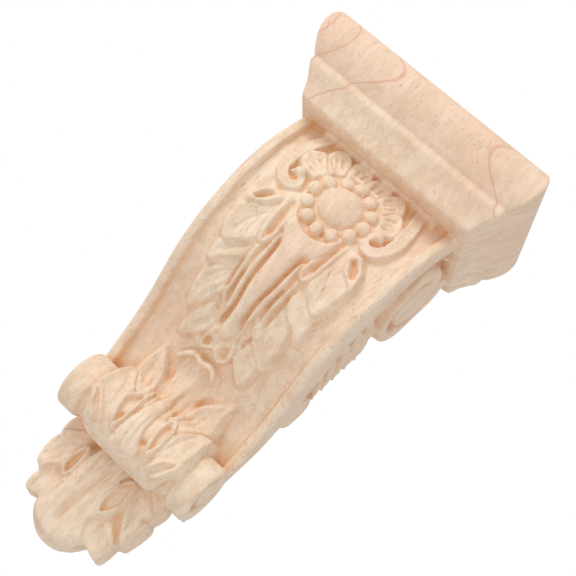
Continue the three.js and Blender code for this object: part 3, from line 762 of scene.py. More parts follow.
@dataclass(frozen=True)
class Flank:
    """The carving on each side: a volute, five leaves below it and a small lobe."""

    levels: Levels = Levels()
    volute_eye: Point = (19.5, 34.0)
    volute_radius: float = 23.0
    lobe: Point = (7.5, 100.5)
    lobe_hole: Point = (8.5, 101.5)
    lobe_radius: float = 9.5
    band: Profile = (
        (0, 44), (17, 44), (26, 49), (32, 50.5), (60, 50.5), (70, 49.5), (82, 44.5), (92, 35.5),
        (105, 27.5), (110, 23.5), (122, 21), (160, 20),
    )
    back_sink: Profile = ((0, 6.6), (98, 6.6), (112, 4.6), (122, 3.8), (160, 3.8))
    front_sink: Profile = ((0, 3.4), (84, 3.4), (104, 2.0), (114, 0.4), (160, 0.1))
    leaves: tuple[tuple[float, ...], ...] = (
        (60, 60, 63.5, 44, 8.5), (67, 66.5, 69.5, 43.5, 8.0), (73.5, 73.5, 76.5, 41.5, 7.5),
        (80.5, 80.5, 83, 38, 7.0), (86.5, 87, 89, 32, 6.0),
    )
    wind: Profile = (
        (0, 0.45), (0.12, 0.59), (0.24, 0.66), (0.46, 0.635), (0.64, 0.72), (0.74, 0.757),
        (0.84, 0.91), (0.9, 1.04), (0.94, 1.157), (0.98, 1.28), (1, 1.37),
    )
    groove_width: Profile = (
        (0, 0.5), (0.2, 1.25), (0.74, 1.4), (0.84, 1.8), (0.9, 2.5), (0.94, 3.1), (0.98, 3.6),
        (1, 2.4),
    )
    groove_depth: Profile = ((0, 1.0), (0.15, 3.9), (0.74, 4.4), (0.9, 4.8), (1, 4.8))

    def height_over(self, depth: Array, height: Array) -> Array:
        """Height of the carving over the body's flank, never above it.

        Args:
            depth: distances from the wall.
            height: heights on the corbel.

        Returns:
            The heights, 0 or less.
        """
        down = self.levels.fillet - height
        band = read(self.band, down)
        sink, step = read(self.back_sink, down), read(self.front_sink, down)
        floor = -(sink + (step - sink) * np.clip(depth / np.maximum(band, 1), 0, 1))
        carving = Carving.blank(depth, down, floor)
        for root, middle, tip, inset, width in self.leaves:
            above = Carving.blank(depth, down)
            spine = ((inset, root), (inset * 0.5, middle), (-2.5, tip))
            above.lay(Stroke(spine, width, 3.0, FINGER, Section.DISHED, dish=0.35, lean=0.2))
            carving.height = np.maximum(carving.height, floor + above.height)
        self.carve_lobe(carving)
        front = smooth((depth - band) / 1.1)
        carving.height = carving.height * (1 - front)
        self.carve_volute(carving)
        return np.minimum(carving.height, 0.0)

    def carve_lobe(self, carving: Carving) -> None:
        """The round lobe below the leaves, with a hole in it."""
        gap = np.hypot(carving.across - self.lobe[0], carving.down - self.lobe[1])
        top = -2.2 - 0.9 * (gap / 9) ** 2 - 5 * smooth((gap - 8.2) / 1.3)
        carving.height = np.where(
            gap < self.lobe_radius, np.maximum(carving.height, top), carving.height
        )
        carving.pit(self.lobe_hole, radius=1.7, depth=2.2)

    def carve_volute(self, carving: Carving) -> None:
        """The flat disc of the volute and the groove that winds round its eye."""
        x, y = self.volute_eye
        gap = np.hypot(carving.across - x, carving.down - y)
        disc = smooth((self.volute_radius - gap) / 0.9)
        carving.height = carving.height * (1 - disc)
        share = np.linspace(0, 1, 30)
        turns = np.radians(60.0 - 448.0 * share)
        reach = self.volute_radius * read(self.wind, share)
        wound = np.stack([x + reach * np.cos(turns), y - reach * np.sin(turns)], -1)
        line = curve_through(wound, 240)
        near = carving.window(line, 6.0)
        share, gap, _ = carving.nearest(line, near)
        half, depth = read(self.groove_width, share), read(self.groove_depth, share)
        carving.height[near] -= depth * np.clip(1.35 * np.exp(-((gap / half) ** 2)), 0, 1)


@dataclass
class Body:
    """The S-shaped body, with its bordered front panel and its two carved sides.

    front_share and side_share are the shares of the tube's columns on the front and on each side.
    """

    side: Side = Side()
    flank: Flank = Flank()
    columns: int = 520
    rows: int = 330
    border_width: float = 4.3
    border_cove: float = 4.4
    border_round: float = 1.3
    border_crown: float = 0.25
    cove_depth: float = 1.5
    cove_crease: float = 0.45
    front_share: float = 0.36
    side_share: float = 0.27
    track: Track = field(init=False)

    def __post_init__(self) -> None:
        """Measures the panel's line from under the cap to behind the scroll."""
        levels = self.side.levels
        height = np.linspace(levels.lip + 3, levels.scroll - 2, 600)
        zero = int(np.argmin(np.abs(height - (levels.body_top + 1))))
        self.track = Track.along(self.side.panel(height), height, zero)

    def border(self, inset: Array) -> Array:
        """Height of the raised border, from the distance to the body's edge."""
        sink, width = self.side.panel_sink, self.border_width
        crown = self.border_crown * (1 - ((inset - width / 2) / (width / 2)) ** 2)
        corner = np.clip(self.border_round - inset, 0, self.border_round)
        rounded = self.border_round - np.sqrt(np.maximum(self.border_round**2 - corner**2, 0))
        cove = np.clip((inset - width) / self.border_cove, 0, 1)
        hollow = sink * (1 - smooth(cove / 0.34))
        hollow = hollow - self.cove_depth * np.sin(np.pi * cove**0.62) ** 1.2
        crease = np.exp(-(((inset - width) / self.border_cove - 1) / 0.08) ** 2)
        hollow = hollow - self.cove_crease * crease
        return np.where(inset < width, sink + crown - rounded, hollow)

    def front(self, across: Array, down: Array) -> Array:
        """Height of the front over the panel's line.

        Args:
            across: distances from the middle.
            down: distances down the panel's line.

        Returns:
            The heights.
        """
        _, height = self.track.at(down)
        carving = Carving.blank(across, down)
        for ornament in (Foliage(), Petals(), CornerScrolls(), Rosette(), Husk(), Steps()):
            ornament.carve(carving)
        inset = self.side.half_width(height) - np.abs(across)
        return np.maximum(carving.height, self.border(inset))

    def build(self) -> bmesh.types.BMesh:
        """The body as one closed tube, from inside the cap to behind the scroll."""
        front, flank = self.front_share, self.side_share
        track = self.track

        def place(u: Array, v: Array) -> Array:
            """The tube's points: u round it from the left front edge, v down it."""
            down = track.down[0] + v * (track.down[-1] - track.down[0])
            _, height = track.at(down)
            half = self.side.half_width(height)
            points = np.zeros((len(u), 3))
            on_front = u <= front
            across = (2 * u / front - 1) * half
            rise = self.front(across[on_front], down[on_front])
            points[on_front] = track.place(across[on_front], down[on_front], rise)
            edge = track.place(half, down, self.border(np.zeros_like(half)))
            for side, share in ((1, (u - front) / flank), (-1, (1 - u) / flank)):
                here = (u > front) & (u < front + flank) if side > 0 else u >= 1 - flank
                out = np.clip(share[here], 0, 1)[:, None]
                wall = np.stack([side * half[here], 0 * half[here], height[here]], -1)
                rim = edge[here] * (side, 1, 1)
                spot = rim * (1 - out) + wall * out
                depth = -spot[:, 1]
                lift = self.flank.height_over(depth, spot[:, 2])
                spot[:, 0] += side * lift
                points[here] = spot
            behind = (u >= front + flank) & (u < 1 - flank)
            share = (u[behind] - front - flank) / (1 - front - 2 * flank)
            lift = self.flank.height_over(np.zeros(behind.sum()), height[behind])
            reach = half[behind] + lift
            points[behind] = np.stack([reach * (1 - 2 * share), 0 * reach, height[behind]], -1)
            return points

        bm = grid(self.columns, self.rows, place)
        close_ends(bm)
        return bm


@dataclass
class Scroll:
    """The lower scroll: a turned cylinder lying across, with a groove wound on each end."""

    levels: Levels = Levels()
    radius: float = 13.0
    length: float = 72.0
    depth: float = 25.5
    neck_at: float = 24.6
    neck_cut: float = 1.9
    end_round: float = 2.2
    eye: Point = (-1.8, 1.6)
    groove_start: float = 85.0
    groove_turn: float = 310.0
    groove_depth: float = 4.2
    groove_width: float = 1.05
    groove_reach: float = 7.0
    groove_sway: float = 1.2

    def profile(self) -> list[Vector]:
        """The turned outline, from the middle of one end to the middle of the other."""
        half, r, edge = self.length / 2, self.radius, self.end_round
        right = [(0.0, half)]
        right += [(x, half) for x in np.arange(0.6, r - edge, 0.6)]
        for a in np.linspace(0, math.pi / 2, 7):
            right.append((r - edge * (1 - math.sin(a)), half - edge * (1 - math.cos(a))))
        right += [
            (r, self.neck_at + 5.0), (r, self.neck_at + 2.6), (r - 0.35, self.neck_at + 1.4),
            (r - self.neck_cut, self.neck_at), (r - self.neck_cut, self.neck_at - 1.4),
        ]
        left = [(radius, -x) for radius, x in reversed(right)]
        return [Vector((x, 0.0, radius)) for radius, x in right + left]

    def end_groove(self, point: Vector) -> float:
        """How deep the wound groove is at a point of an end face."""
        y, z = point.y - self.eye[0], point.z - self.eye[1]
        turn = math.degrees(math.atan2(z, y)) % 360.0
        gap = math.hypot(y, z)
        cut = 0.0
        for wound in (turn, turn + 360.0):
            share = (wound - self.groove_start) / self.groove_turn
            if 0.0 <= share <= 1.0:
                reach = self.groove_reach + self.groove_sway * math.sin(math.pi * share) ** 2
                run_out = min(1.0, share / 0.2, (1.0 - share) / 0.12)
                dip = math.exp(-(((gap - reach) / self.groove_width) ** 2))
                cut = max(cut, self.groove_depth * run_out * dip)
        return cut

    def build(self) -> bmesh.types.BMesh:
        """The scroll as one closed turned form, in place."""
        bm = bmesh.new()
        verts = [bm.verts.new(p) for p in self.profile()]
        edges = [bm.edges.new(pair) for pair in zip(verts, verts[1:])]
        bmesh.ops.spin(
            bm, geom=verts + edges, cent=(0, 0, 0), axis=(1, 0, 0), dvec=(0, 0, 0),
            angle=2 * math.pi, steps=128, use_merge=True,
        )
        bmesh.ops.remove_doubles(bm, verts=bm.verts[:], dist=MERGE)
        half = self.length / 2
        for vert in bm.verts:
            if abs(vert.co.x) > half - 1e-3:
                vert.co.x -= math.copysign(self.end_groove(vert.co), vert.co.x)
        bmesh.ops.translate(bm, vec=(0, -self.depth, self.levels.scroll), verts=bm.verts[:])
        bmesh.ops.recalc_face_normals(bm, faces=bm.faces[:])
        return bm


@dataclass
class Drape:
    """The acanthus leaf that starts on the panel's foot and lies over the scroll.

    Distances down it run on from those of the panel.
    """

    body: Body
    scroll: Scroll
    columns: int = 150
    rows: int = 260
    half_width: float = 28.0
    sunk: float = -4.5
    crease_sink: float = 5.0
    start: float = 100.0
    lift: float = 0.6
    thickness: float = 2.5
    frond: Leaf = Leaf(rise=4.1, hollow=0.9, rim=3.0, cut=1.7)
    tip: Leaf = Leaf(rise=4.7, hollow=2.2, rim=1.5, cut=1.4)
    eye: Leaf = Leaf(rise=4.7, hollow=2.8, rim=1.4, cut=1.4, reach=9.0)
    spread: Profile = (
        (105, 6.0), (112, 9.0), (118, 11.0), (124, 14.0), (132, 17), (140, 20), (150, 22.3),
        (160, 23.3), (170, 21.6), (178, 19.4), (186, 17.0), (194, 14.4), (210, 13.0),
    )
    fronds: tuple[Frond, ...] = (
        ((9, 152), 16.0, ((19.9, 116.6), (15.1, 120.2), (11.4, 123.8), (9.0, 127.5), (7.6, 136),
         (6.8, 147), (12, 147), (17.4, 139.5), (20.3, 132), (19.6, 124))),
        ((-9, 152), 16.0, ((-18.1, 116.5), (-14.8, 120.9), (-12.2, 124.5), (-10.4, 128),
         (-9.2, 136), (-8.4, 146), (-13, 147), (-18, 139), (-20.2, 130), (-19.4, 122))),
        ((13, 166), 17.0, ((23.2, 134.8), (18.9, 140.0), (16.0, 145.4), (13.6, 149.4), (13.0, 156),
         (15, 162), (20, 160.5), (24.3, 153.4), (23.6, 144))),
        ((-12, 166), 17.0, ((-21.4, 135.2), (-17.2, 140.6), (-14.1, 145.5), (-10.6, 149.0),
         (-10.5, 157), (-13, 163), (-19, 161), (-23, 152.6), (-22.6, 144))),
    )
    tips: tuple[Frond, ...] = (
        ((13.5, 167), 7.0, ((24.4, 155.6), (20.2, 156.2), (17.0, 158.3), (14.9, 161.1),
         (13.4, 164.5), (15.4, 165.6), (18.6, 164.2), (21.4, 160.8))),
        ((-10.5, 167.5), 7.0, ((-22.6, 155.6), (-20.5, 154.9), (-17.2, 157.2), (-13.9, 160.3),
         (-10.8, 164.8), (-13.2, 166.6), (-16.5, 163.7), (-20.0, 160.2))),
    )
    ribs: tuple[tuple[Spine, float], ...] = (
        (((-7.4, 137), (-6.6, 142), (-5.6, 148), (-4.7, 154), (-5.0, 162)), 2.2),
        (((-4.9, 138), (-4.4, 142), (-3.8, 146), (-4.0, 153)), 2.0),
        (((3.8, 136), (4.2, 141), (5.0, 146), (6.2, 153), (7.2, 162)), 2.6),
    )
    eyes: tuple[Outline, ...] = (
        ((9.0, 145.4), (7.4, 149.2), (7.7, 153.5), (8.6, 157.4), (10, 162), (11.8, 158.8),
         (12.8, 154.4), (12.4, 150.2), (11.0, 147.4)),
        ((-6.2, 145.6), (-9.6, 148.1), (-11.5, 150.8), (-11.3, 154), (-9.9, 157.8), (-7.2, 162),
         (-5.6, 157.4), (-5.3, 151)),
    )
    stem: Outline = (
        (1.0, 118), (0.6, 124), (-0.1, 131), (2.2, 146.6), (3.0, 153.9), (5.2, 159), (8.2, 163),
        (11.5, 168), (8, 174), (0, 176), (-6, 173), (-5.2, 166), (-4.4, 159), (-3.2, 152),
        (-2.3, 146), (-2.8, 138), (-2.6, 127), (-1.8, 118),
    )
    veins: tuple[Cut, ...] = (
        (((-0.8, 146), (-0.6, 156), (1.4, 168)), 1.3, 0.7), (((1.2, 148), (2.4, 158), (5.6, 168)),
        1.3, 0.7), (((11.6, 128), (9.8, 138), (8.6, 146)), 1.4, 0.9), (((15.4, 123), (13.6, 133),
        (11.4, 143)), 1.4, 0.8), (((-13.0, 127), (-11.6, 137), (-9.8, 146)), 1.4, 0.9),
        (((-16.6, 122), (-15.6, 133), (-12.6, 143)), 1.4, 0.8), (((19.6, 142), (16.8, 149),
        (14.4, 158)), 1.4, 0.8), (((-18.4, 142), (-15.4, 149), (-12.6, 158)), 1.4, 0.8),
        (((5.4, 124), (5.0, 136), (5.6, 146)), 1.8, 0.9), (((-7.4, 125), (-6.2, 137), (-4.9, 147)),
        1.8, 0.9),
    )
    holes: tuple[Hole, ...] = (
        ((-7.2, 156.8), 1.2, 1.6), ((6.6, 158.4), 1.1, 2.2), ((-4.6, 163), 1.0, 1.0),
    )
    curl: Spine = (
        (-11.4, 115.6), (-8.6, 111.9), (-5.2, 110.2), (-1.5, 111.2), (2.2, 110.2), (5.0, 111.6),
        (6.6, 115.6),
    )
    curl_holes: tuple[Hole, ...] = (((-6.0, 115.2), 2.0, 1.0), ((2.6, 114.6), 2.0, 1.0))
    clefts: tuple[Cut, ...] = (
        (((-15.9, 116.5), (-12.4, 119.6), (-9.8, 124.0), (-8.4, 131)), 2.8, 3.4),
        (((14.4, 118.4), (10.8, 121.6), (8.2, 125.4), (6.8, 132)), 2.6, 3.0),
    )
    track: Track = field(init=False)

    def __post_init__(self) -> None:
        """Draws the leaf's line: down the panel, round the scroll and in behind it."""
        depth, height = self.body.track.at(np.arange(self.start, 124.0, 4.0))
        start = [(d + 0.2, h) for d, h in zip(depth, height)]
        c, z, r = self.scroll.depth, self.scroll.levels.scroll, self.scroll.radius
        bend = [(c + 1.0, z + r + 3.4)]
        r += self.lift
        turns = np.radians(np.linspace(60, -108, 10))
        around = [(c + r * math.cos(a), z + r * math.sin(a)) for a in turns]
        line = curve_through(start + bend + around, 500)
        self.track = Track.along(line[:, 0], line[:, 1], 0)
        self.track.down += self.start

    def ground(self, down: Array) -> Array:
        """Height of the hidden sheet beside the leaf, lowest where it spans the crease."""
        crease = smooth((down - 106) / 10) * smooth((146 - down) / 10)
        return self.sunk - self.crease_sink * crease

    def carve(self, carving: Carving) -> None:
        """The leaf's outline, its fronds, hollows and ribs."""
        across, down = np.abs(carving.across), carving.down
        edge = 1.4 + 5.0 * smooth((down - 166) / 16)
        inside = smooth((read(self.spread, down) - np.abs(carving.across - 0.4)) / edge)
        inside = inside * smooth((down - 110.5) / 1.2)
        body = 0.9 + 1.4 * smooth((down - 122) / 16) * (1 - (across / 24) ** 2)
        ground = self.ground(down)
        carving.height = ground + (body - ground) * inside
        carving.fill_all(self.fronds, self.frond, tilt=-0.035)
        carving.fill_all(self.tips, self.tip)
        for spine, width in self.ribs:
            carving.lay(Stroke(spine, width, 3.6, BLADE, dish=0.5, flank=0.7))
        for outline in self.eyes:
            carving.fill(replace(self.eye, outline=outline, root=(outline[0][0] * 0.9, 166)))
        stem = Leaf(self.stem, rise=3.9, hollow=-0.5, rim=1.6, cut=1.6)
        carving.fill(replace(stem, root=(-0.4, 113), reach=24.0))
        for vein in self.veins:
            carving.groove(*vein, ends=0.3)
        carving.pits(self.holes)
        carving.lay(Stroke(self.curl, 4.6, 4.0, BAND, dish=0.35, flank=1.3))
        carving.pits(self.curl_holes)
        calm = smooth((down - 162) / 12) * 0.85 * inside
        carving.height = carving.height * (1 - calm) + 0.4 * calm
        for cleft in self.clefts:
            carving.groove(*cleft, ends=0.35)

    def build(self) -> bmesh.types.BMesh:
        """The leaf as a thick sheet over the scroll."""
        first, last = self.track.down[0] + 4.0, self.track.down[-1] - 1.0

        def front(u: Array, v: Array) -> Array:
            """The carved face's points."""
            across = (2 * u - 1) * self.half_width
            down = first + v * (last - first)
            carving = Carving.blank(across, down)
            self.carve(carving)
            return self.track.place(across, down, carving.height)

        def back(u: Array, v: Array) -> Array:
            """The hidden face's points."""
            across = (2 * u - 1) * self.half_width
            down = first + v * (last - first)
            return self.track.place(across, down, self.ground(down) - self.thickness)

        sheet = grid(self.columns, self.rows, lambda u, v: np.stack([u, v, u * 0], -1))
        made = bmesh.ops.extrude_face_region(sheet, geom=sheet.faces[:])
        hidden = {g for g in made["geom"] if isinstance(g, bmesh.types.BMVert)}
        shown = [v for v in sheet.verts if v not in hidden]
        for verts, mapped in ((shown, front), (list(hidden), back)):
            flat = np.array([v.co[:2] for v in verts])
            for vert, co in zip(verts, mapped(flat[:, 0], flat[:, 1])):
                vert.co = co
        bmesh.ops.recalc_face_normals(sheet, faces=sheet.faces[:])
        return sheet


@dataclass
class Tail:
    """The lobed leaf below the scroll, from the wall to its carved face.

    Each frond has a root, a reach, a rise, a hollow and an outline.
    """

    levels: Levels = Levels()
    columns: int = 150
    rows: int = 150
    half_width: float = 32.0
    top: float = -16.0
    length: float = 62.0
    tip_down: float = 44.0
    below_scroll: float = 11.05
    sink: float = 3.0
    edge_round: float = 2.2
    edge_width: float = 5.0
    behind_wall: float = -1.5
    outline: Outline = (
        (13.0, -14), (18.0, -8), (22.6, -3), (25.2, 0.5), (25.7, 4), (25.1, 7.2), (24.4, 9.4),
        (25.5, 11.4), (25.5, 15.5), (24.8, 19.5), (23.5, 24.1), (20.8, 25.6), (20.5, 28.5),
        (20.3, 31.8), (19.0, 35.2), (14.8, 34.9), (11.4, 33.9), (10.1, 35.4), (8.1, 38.2),
        (5.2, 41), (1.8, 43), (-3.2, 44), (-8.6, 43.4), (-13.6, 40.3), (-16.5, 36.2), (-17.0, 33.4),
        (-22.4, 34.6), (-24.6, 32.8), (-25.0, 29), (-24.6, 25.4), (-27.4, 23.5), (-28.5, 19.5),
        (-28.8, 15.9), (-28.4, 11.6), (-27.5, 9.6), (-28.7, 8), (-29.0, 4), (-28.0, 0.5),
        (-25.4, -3), (-21, -8), (-17, -14),
    )
    face: Profile = ((-20, 19), (0, 18.4), (10, 17.2), (22, 15.0), (34, 11.6), (44, 8.6))
    fronds: tuple[tuple[Any, ...], ...] = (
        ((10, -10), 16, 2.8, 0.9, ((12, -7), (20, -5), (27, 1), (27, 6), (25.2, 8.8), (21.1, 5.6),
         (17.5, 2.7), (12, 0))),
        ((-12, -10), 16, 2.8, 0.9, ((-14, -7), (-21, -5), (-29.5, 1), (-29.5, 7), (-26.6, 9.4),
         (-22, 5), (-17, 1.5))),
        ((7.5, 17), 12, 3.4, 1.0, ((9.5, 16), (15, 21.4), (19.5, 25.2), (21.4, 27), (21.4, 31.4),
         (19.8, 36), (14, 35), (9.5, 33.4), (6.0, 27), (6.5, 20))),
        ((-12.5, 17), 12, 3.4, 1.0, ((-13, 17), (-19.1, 19), (-23.4, 25.4), (-25.4, 32.8),
         (-23, 35.4), (-15.8, 34), (-13.6, 26))),
        ((11, -3), 14, 4.5, 0.8, ((12.6, 0), (17.5, 3.0), (25.2, 8.6), (26.6, 12), (26, 19.4),
         (23.4, 24.9), (19.4, 19.8), (15.1, 14.3), (11.6, 9.4), (10.4, 4))),
        ((-15, -3), 14, 4.5, 0.8, ((-16.0, 0), (-21, 3.6), (-28, 9.2), (-29.4, 15.9), (-28.8, 21.8),
         (-24.7, 25.6), (-21, 20.8), (-17.3, 17), (-15.0, 9))),
        ((0, -14), 22, 4.9, -0.5, ((-6, -7), (5, -7), (7.2, 4), (5.6, 14), (7.1, 21.5), (5.8, 25),
         (7.0, 29.9), (8.9, 33.4), (7.2, 37.2), (0, 40), (-4.4, 40.6), (-10, 39.4), (-13.6, 37.2),
         (-15.5, 34.2), (-15.8, 31.0), (-14.5, 25.6), (-12.2, 20), (-11.4, 12), (-9, 3))),
        ((11, -3), 10, 5.4, 2.9, ((10.1, 2.6), (6.6, 6.0), (5.2, 12.0), (4.9, 16.4), (7.1, 21.6),
         (10.6, 18.1), (12.5, 13.6), (12.0, 7.0))),
        ((-13, 0), 10, 5.4, 2.9, ((-14.0, 4.8), (-16.1, 9.6), (-17.0, 14.2), (-16.3, 18.1),
         (-13.4, 20.6), (-12.0, 15.4), (-12.4, 8.0))),
    )
    veins: tuple[Cut, ...] = (
        (((3.5, 0), (0.6, 8.3), (-1.3, 14.8), (-2.5, 22.4), (-3.3, 30), (-3.1, 38.5)), 3.0, 2.0),
        (((-0.6, 4), (-3.8, 14), (-5.6, 24), (-6.2, 35)), 2.6, -0.6),
        (((-7.8, 2), (-6.7, 12), (-6.0, 21)), 1.2, 1.1),
        (((11.6, 19.6), (13.9, 24.2), (16.8, 27), (19.6, 32)), 1.5, -0.9),
        (((10.6, 22.5), (12.4, 27.5), (15.6, 32.5)), 2.2, 1.2),
        (((-19.4, 20.5), (-20.8, 26.5), (-20.6, 32)), 1.6, 0.9),
        (((16, 6), (20, 12.5), (22.8, 19)), 2.0, 0.5),
        (((-18.5, 6), (-22.6, 13), (-24.8, 21)), 2.0, 0.7),
        (((14.6, 0), (19.6, 7.4), (24.6, 15)), 1.4, 0.8),
        (((13.2, 4), (17.4, 12), (21.2, 19)), 1.3, 0.8),
        (((-17.0, 2), (-23.4, 9), (-27.2, 16)), 1.4, 0.8),
        (((-16.4, 8), (-20.0, 16), (-23.4, 22)), 1.3, 0.8),
        (((9.0, -4), (7.0, 3), (5.8, 8)), 1.6, 1.6),
        (((-11.6, -4), (-12.6, 2), (-13.6, 6)), 1.6, 1.6),
        (((5.4, -4), (3.4, 6), (2.6, 14), (4.4, 24)), 1.4, 1.0),
        (((-4.6, -4), (-4.8, 6), (-6.4, 14)), 1.4, 0.9),
        (((0.6, 24), (1.0, 31), (3.4, 36)), 1.4, 0.6),
        (((-10.6, 18), (-12.0, 26), (-12.0, 33)), 1.4, 0.7),
    )
    hole: Hole = ((23.0, 10.6), 1.3, 1.6)

    def height_at(self, down: Array) -> Array:
        """Height on the corbel at a distance down the leaf."""
        top = self.levels.scroll - self.below_scroll
        return top + (self.levels.tail_tip - top) * down / self.tip_down

    def carve(self, carving: Carving) -> None:
        """The fronds of the leaf, each running out to a lobe of the outline."""
        for root, reach, rise, hollow, outline in self.fronds:
            rim = 1.5 if hollow > 2 else 4.0
            carving.fill(Leaf(outline, rise, hollow, rim, cut=1.6, root=root, reach=reach))
        for vein in self.veins:
            carving.groove(*vein, ends=0.2)
        carving.pit(*self.hole)

    def build(self) -> bmesh.types.BMesh:
        """The tail leaf as one closed form that stops at the wall."""

        def place(u: Array, v: Array) -> Array:
            """The carved face's points, and behind the wall outside the outline."""
            across = (2 * u - 1) * self.half_width
            down = self.top + v * self.length
            inset = inset_of(ring_through(self.outline), across, down)
            carving = Carving.blank(across, down)
            self.carve(carving)
            rounded = self.edge_round * (1 - np.clip(inset / self.edge_width, 0, 1)) ** 2
            face = read(self.face, down) + carving.height - self.sink - rounded
            inside = smooth((inset + 0.25) / 0.8)
            depth = self.behind_wall + (face - self.behind_wall) * inside
            return np.stack([across, -depth, self.height_at(down)], -1)

        bm = grid(self.columns, self.rows, place)
        back_with(bm, lambda points: points * (1, 0, 1) + (0, 4.0, 0))
        cut_at_wall(bm)
        return bm


@dataclass
class Block:
    """The wood behind the scroll, between the body's foot and the tail."""

    scroll: Scroll
    half_width: float = 31.5
    below: float = 11.0
    above: float = 7.0
    bevel: float = 2.0

    def build(self) -> bmesh.types.BMesh:
        """A bevelled block from the wall to the scroll's middle."""
        bm = bmesh.new()
        bmesh.ops.create_cube(bm, size=1.0)
        middle = self.scroll.levels.scroll
        foot, top = middle - self.below, middle + self.above
        size = (self.half_width * 2, self.scroll.depth, top - foot)
        bmesh.ops.scale(bm, vec=size, verts=bm.verts[:])
        centre = (0, -self.scroll.depth / 2, (top + foot) / 2)
        bmesh.ops.translate(bm, vec=centre, verts=bm.verts[:])
        front = [e for e in bm.edges if all(v.co.y < -1 for v in e.verts)]
        bmesh.ops.bevel(
            bm, geom=front, offset=self.bevel, segments=3, profile=0.5, affect="EDGES", material=-1
        )
        return bm


Wire = Union["Signal", float, int, Sequence[float]]


class Signal:
    """A node's output that can be used in Python expressions."""

    def __init__(self, shader: "Shader", socket: bpy.types.NodeSocket) -> None:
        """Wraps a socket of a shader's tree."""
        self.shader = shader
        self.socket = socket

    def __add__(self, other: Wire) -> "Signal":
        """The sum."""
        return self.shader.maths("ADD", self, other)

    def __radd__(self, other: Wire) -> "Signal":
        """The sum, from the right."""
        return self.shader.maths("ADD", other, self)

    def __sub__(self, other: Wire) -> "Signal":
        """The difference."""
        return self.shader.maths("SUBTRACT", self, other)

    def __rsub__(self, other: Wire) -> "Signal":
        """The difference, from the right."""
        return self.shader.maths("SUBTRACT", other, self)

    def __mul__(self, other: Wire) -> "Signal":
        """The product."""
        return self.shader.maths("MULTIPLY", self, other)

    def __rmul__(self, other: Wire) -> "Signal":
        """The product, from the right."""
        return self.shader.maths("MULTIPLY", other, self)

    def between(self, low: float, high: float) -> "Signal":
        """A smooth rise from 0 at low to 1 at high."""
        inputs = {"Value": self, "From Min": low, "From Max": high}
        settings = {"interpolation_type": "SMOOTHSTEP"}
        return self.shader.node("ShaderNodeMapRange", settings, inputs)["Result"]


class Outputs:
    """The outputs of a node, by name."""

    def __init__(self, shader: "Shader", node: bpy.types.Node) -> None:
        """Wraps a node of a shader's tree."""
        self.shader = shader
        self.node = node

    def __getitem__(self, name: Union[str, int]) -> Signal:
        """The output with that name or place."""
        return Signal(self.shader, self.node.outputs[name])


class Shader:
    """A node tree that is built from Python expressions."""

    def __init__(self, tree: bpy.types.NodeTree) -> None:
        """Empties the tree."""
        self.tree = tree
        tree.nodes.clear()

    def node(self, kind: str, settings: dict[str, Any], inputs: dict[Any, Wire]) -> Outputs:
        """Adds a node.

        Args:
            kind: the node's type.
            settings: its properties, such as a Math node's operation.
            inputs: a value or a link for each of its sockets.

        Returns:
            The node's outputs.
        """
        made = self.tree.nodes.new(kind)
        for name, value in settings.items():
            setattr(made, name, value)
        for name, value in inputs.items():
            socket = made.inputs[name]
            if isinstance(value, Signal):
                self.tree.links.new(value.socket, socket)
            else:
                socket.default_value = value
        return Outputs(self, made)

    def maths(self, operation: str, first: Wire, second: Wire) -> Signal:
        """A Math node on two values."""
        return self.node("ShaderNodeMath", {"operation": operation}, {0: first, 1: second})[0]

    def vector(self, operation: str, first: Wire, second: Wire) -> Signal:
        """A Vector Math node on two vectors."""
        settings = {"operation": operation}
        return self.node("ShaderNodeVectorMath", settings, {0: first, 1: second})[0]

    def mix(self, share: Wire, first: Wire, second: Wire) -> Signal:
        """Two colours mixed by a share."""
        inputs = {0: share, 6: first, 7: second}
        return self.node("ShaderNodeMix", {"data_type": "RGBA"}, inputs)[2]

    def noise(self, place: Wire, scale: Scale, detail: float = 2.0, rough: float = 0.5) -> Signal:
        """Noise from 0 to 1 at a place, with its own scale along each axis."""
        stretched = self.vector("MULTIPLY", place, scale)
        inputs = {"Vector": stretched, "Scale": 1.0, "Detail": detail, "Roughness": rough}
        return self.node("ShaderNodeTexNoise", {"noise_dimensions": "3D"}, inputs)["Fac"]


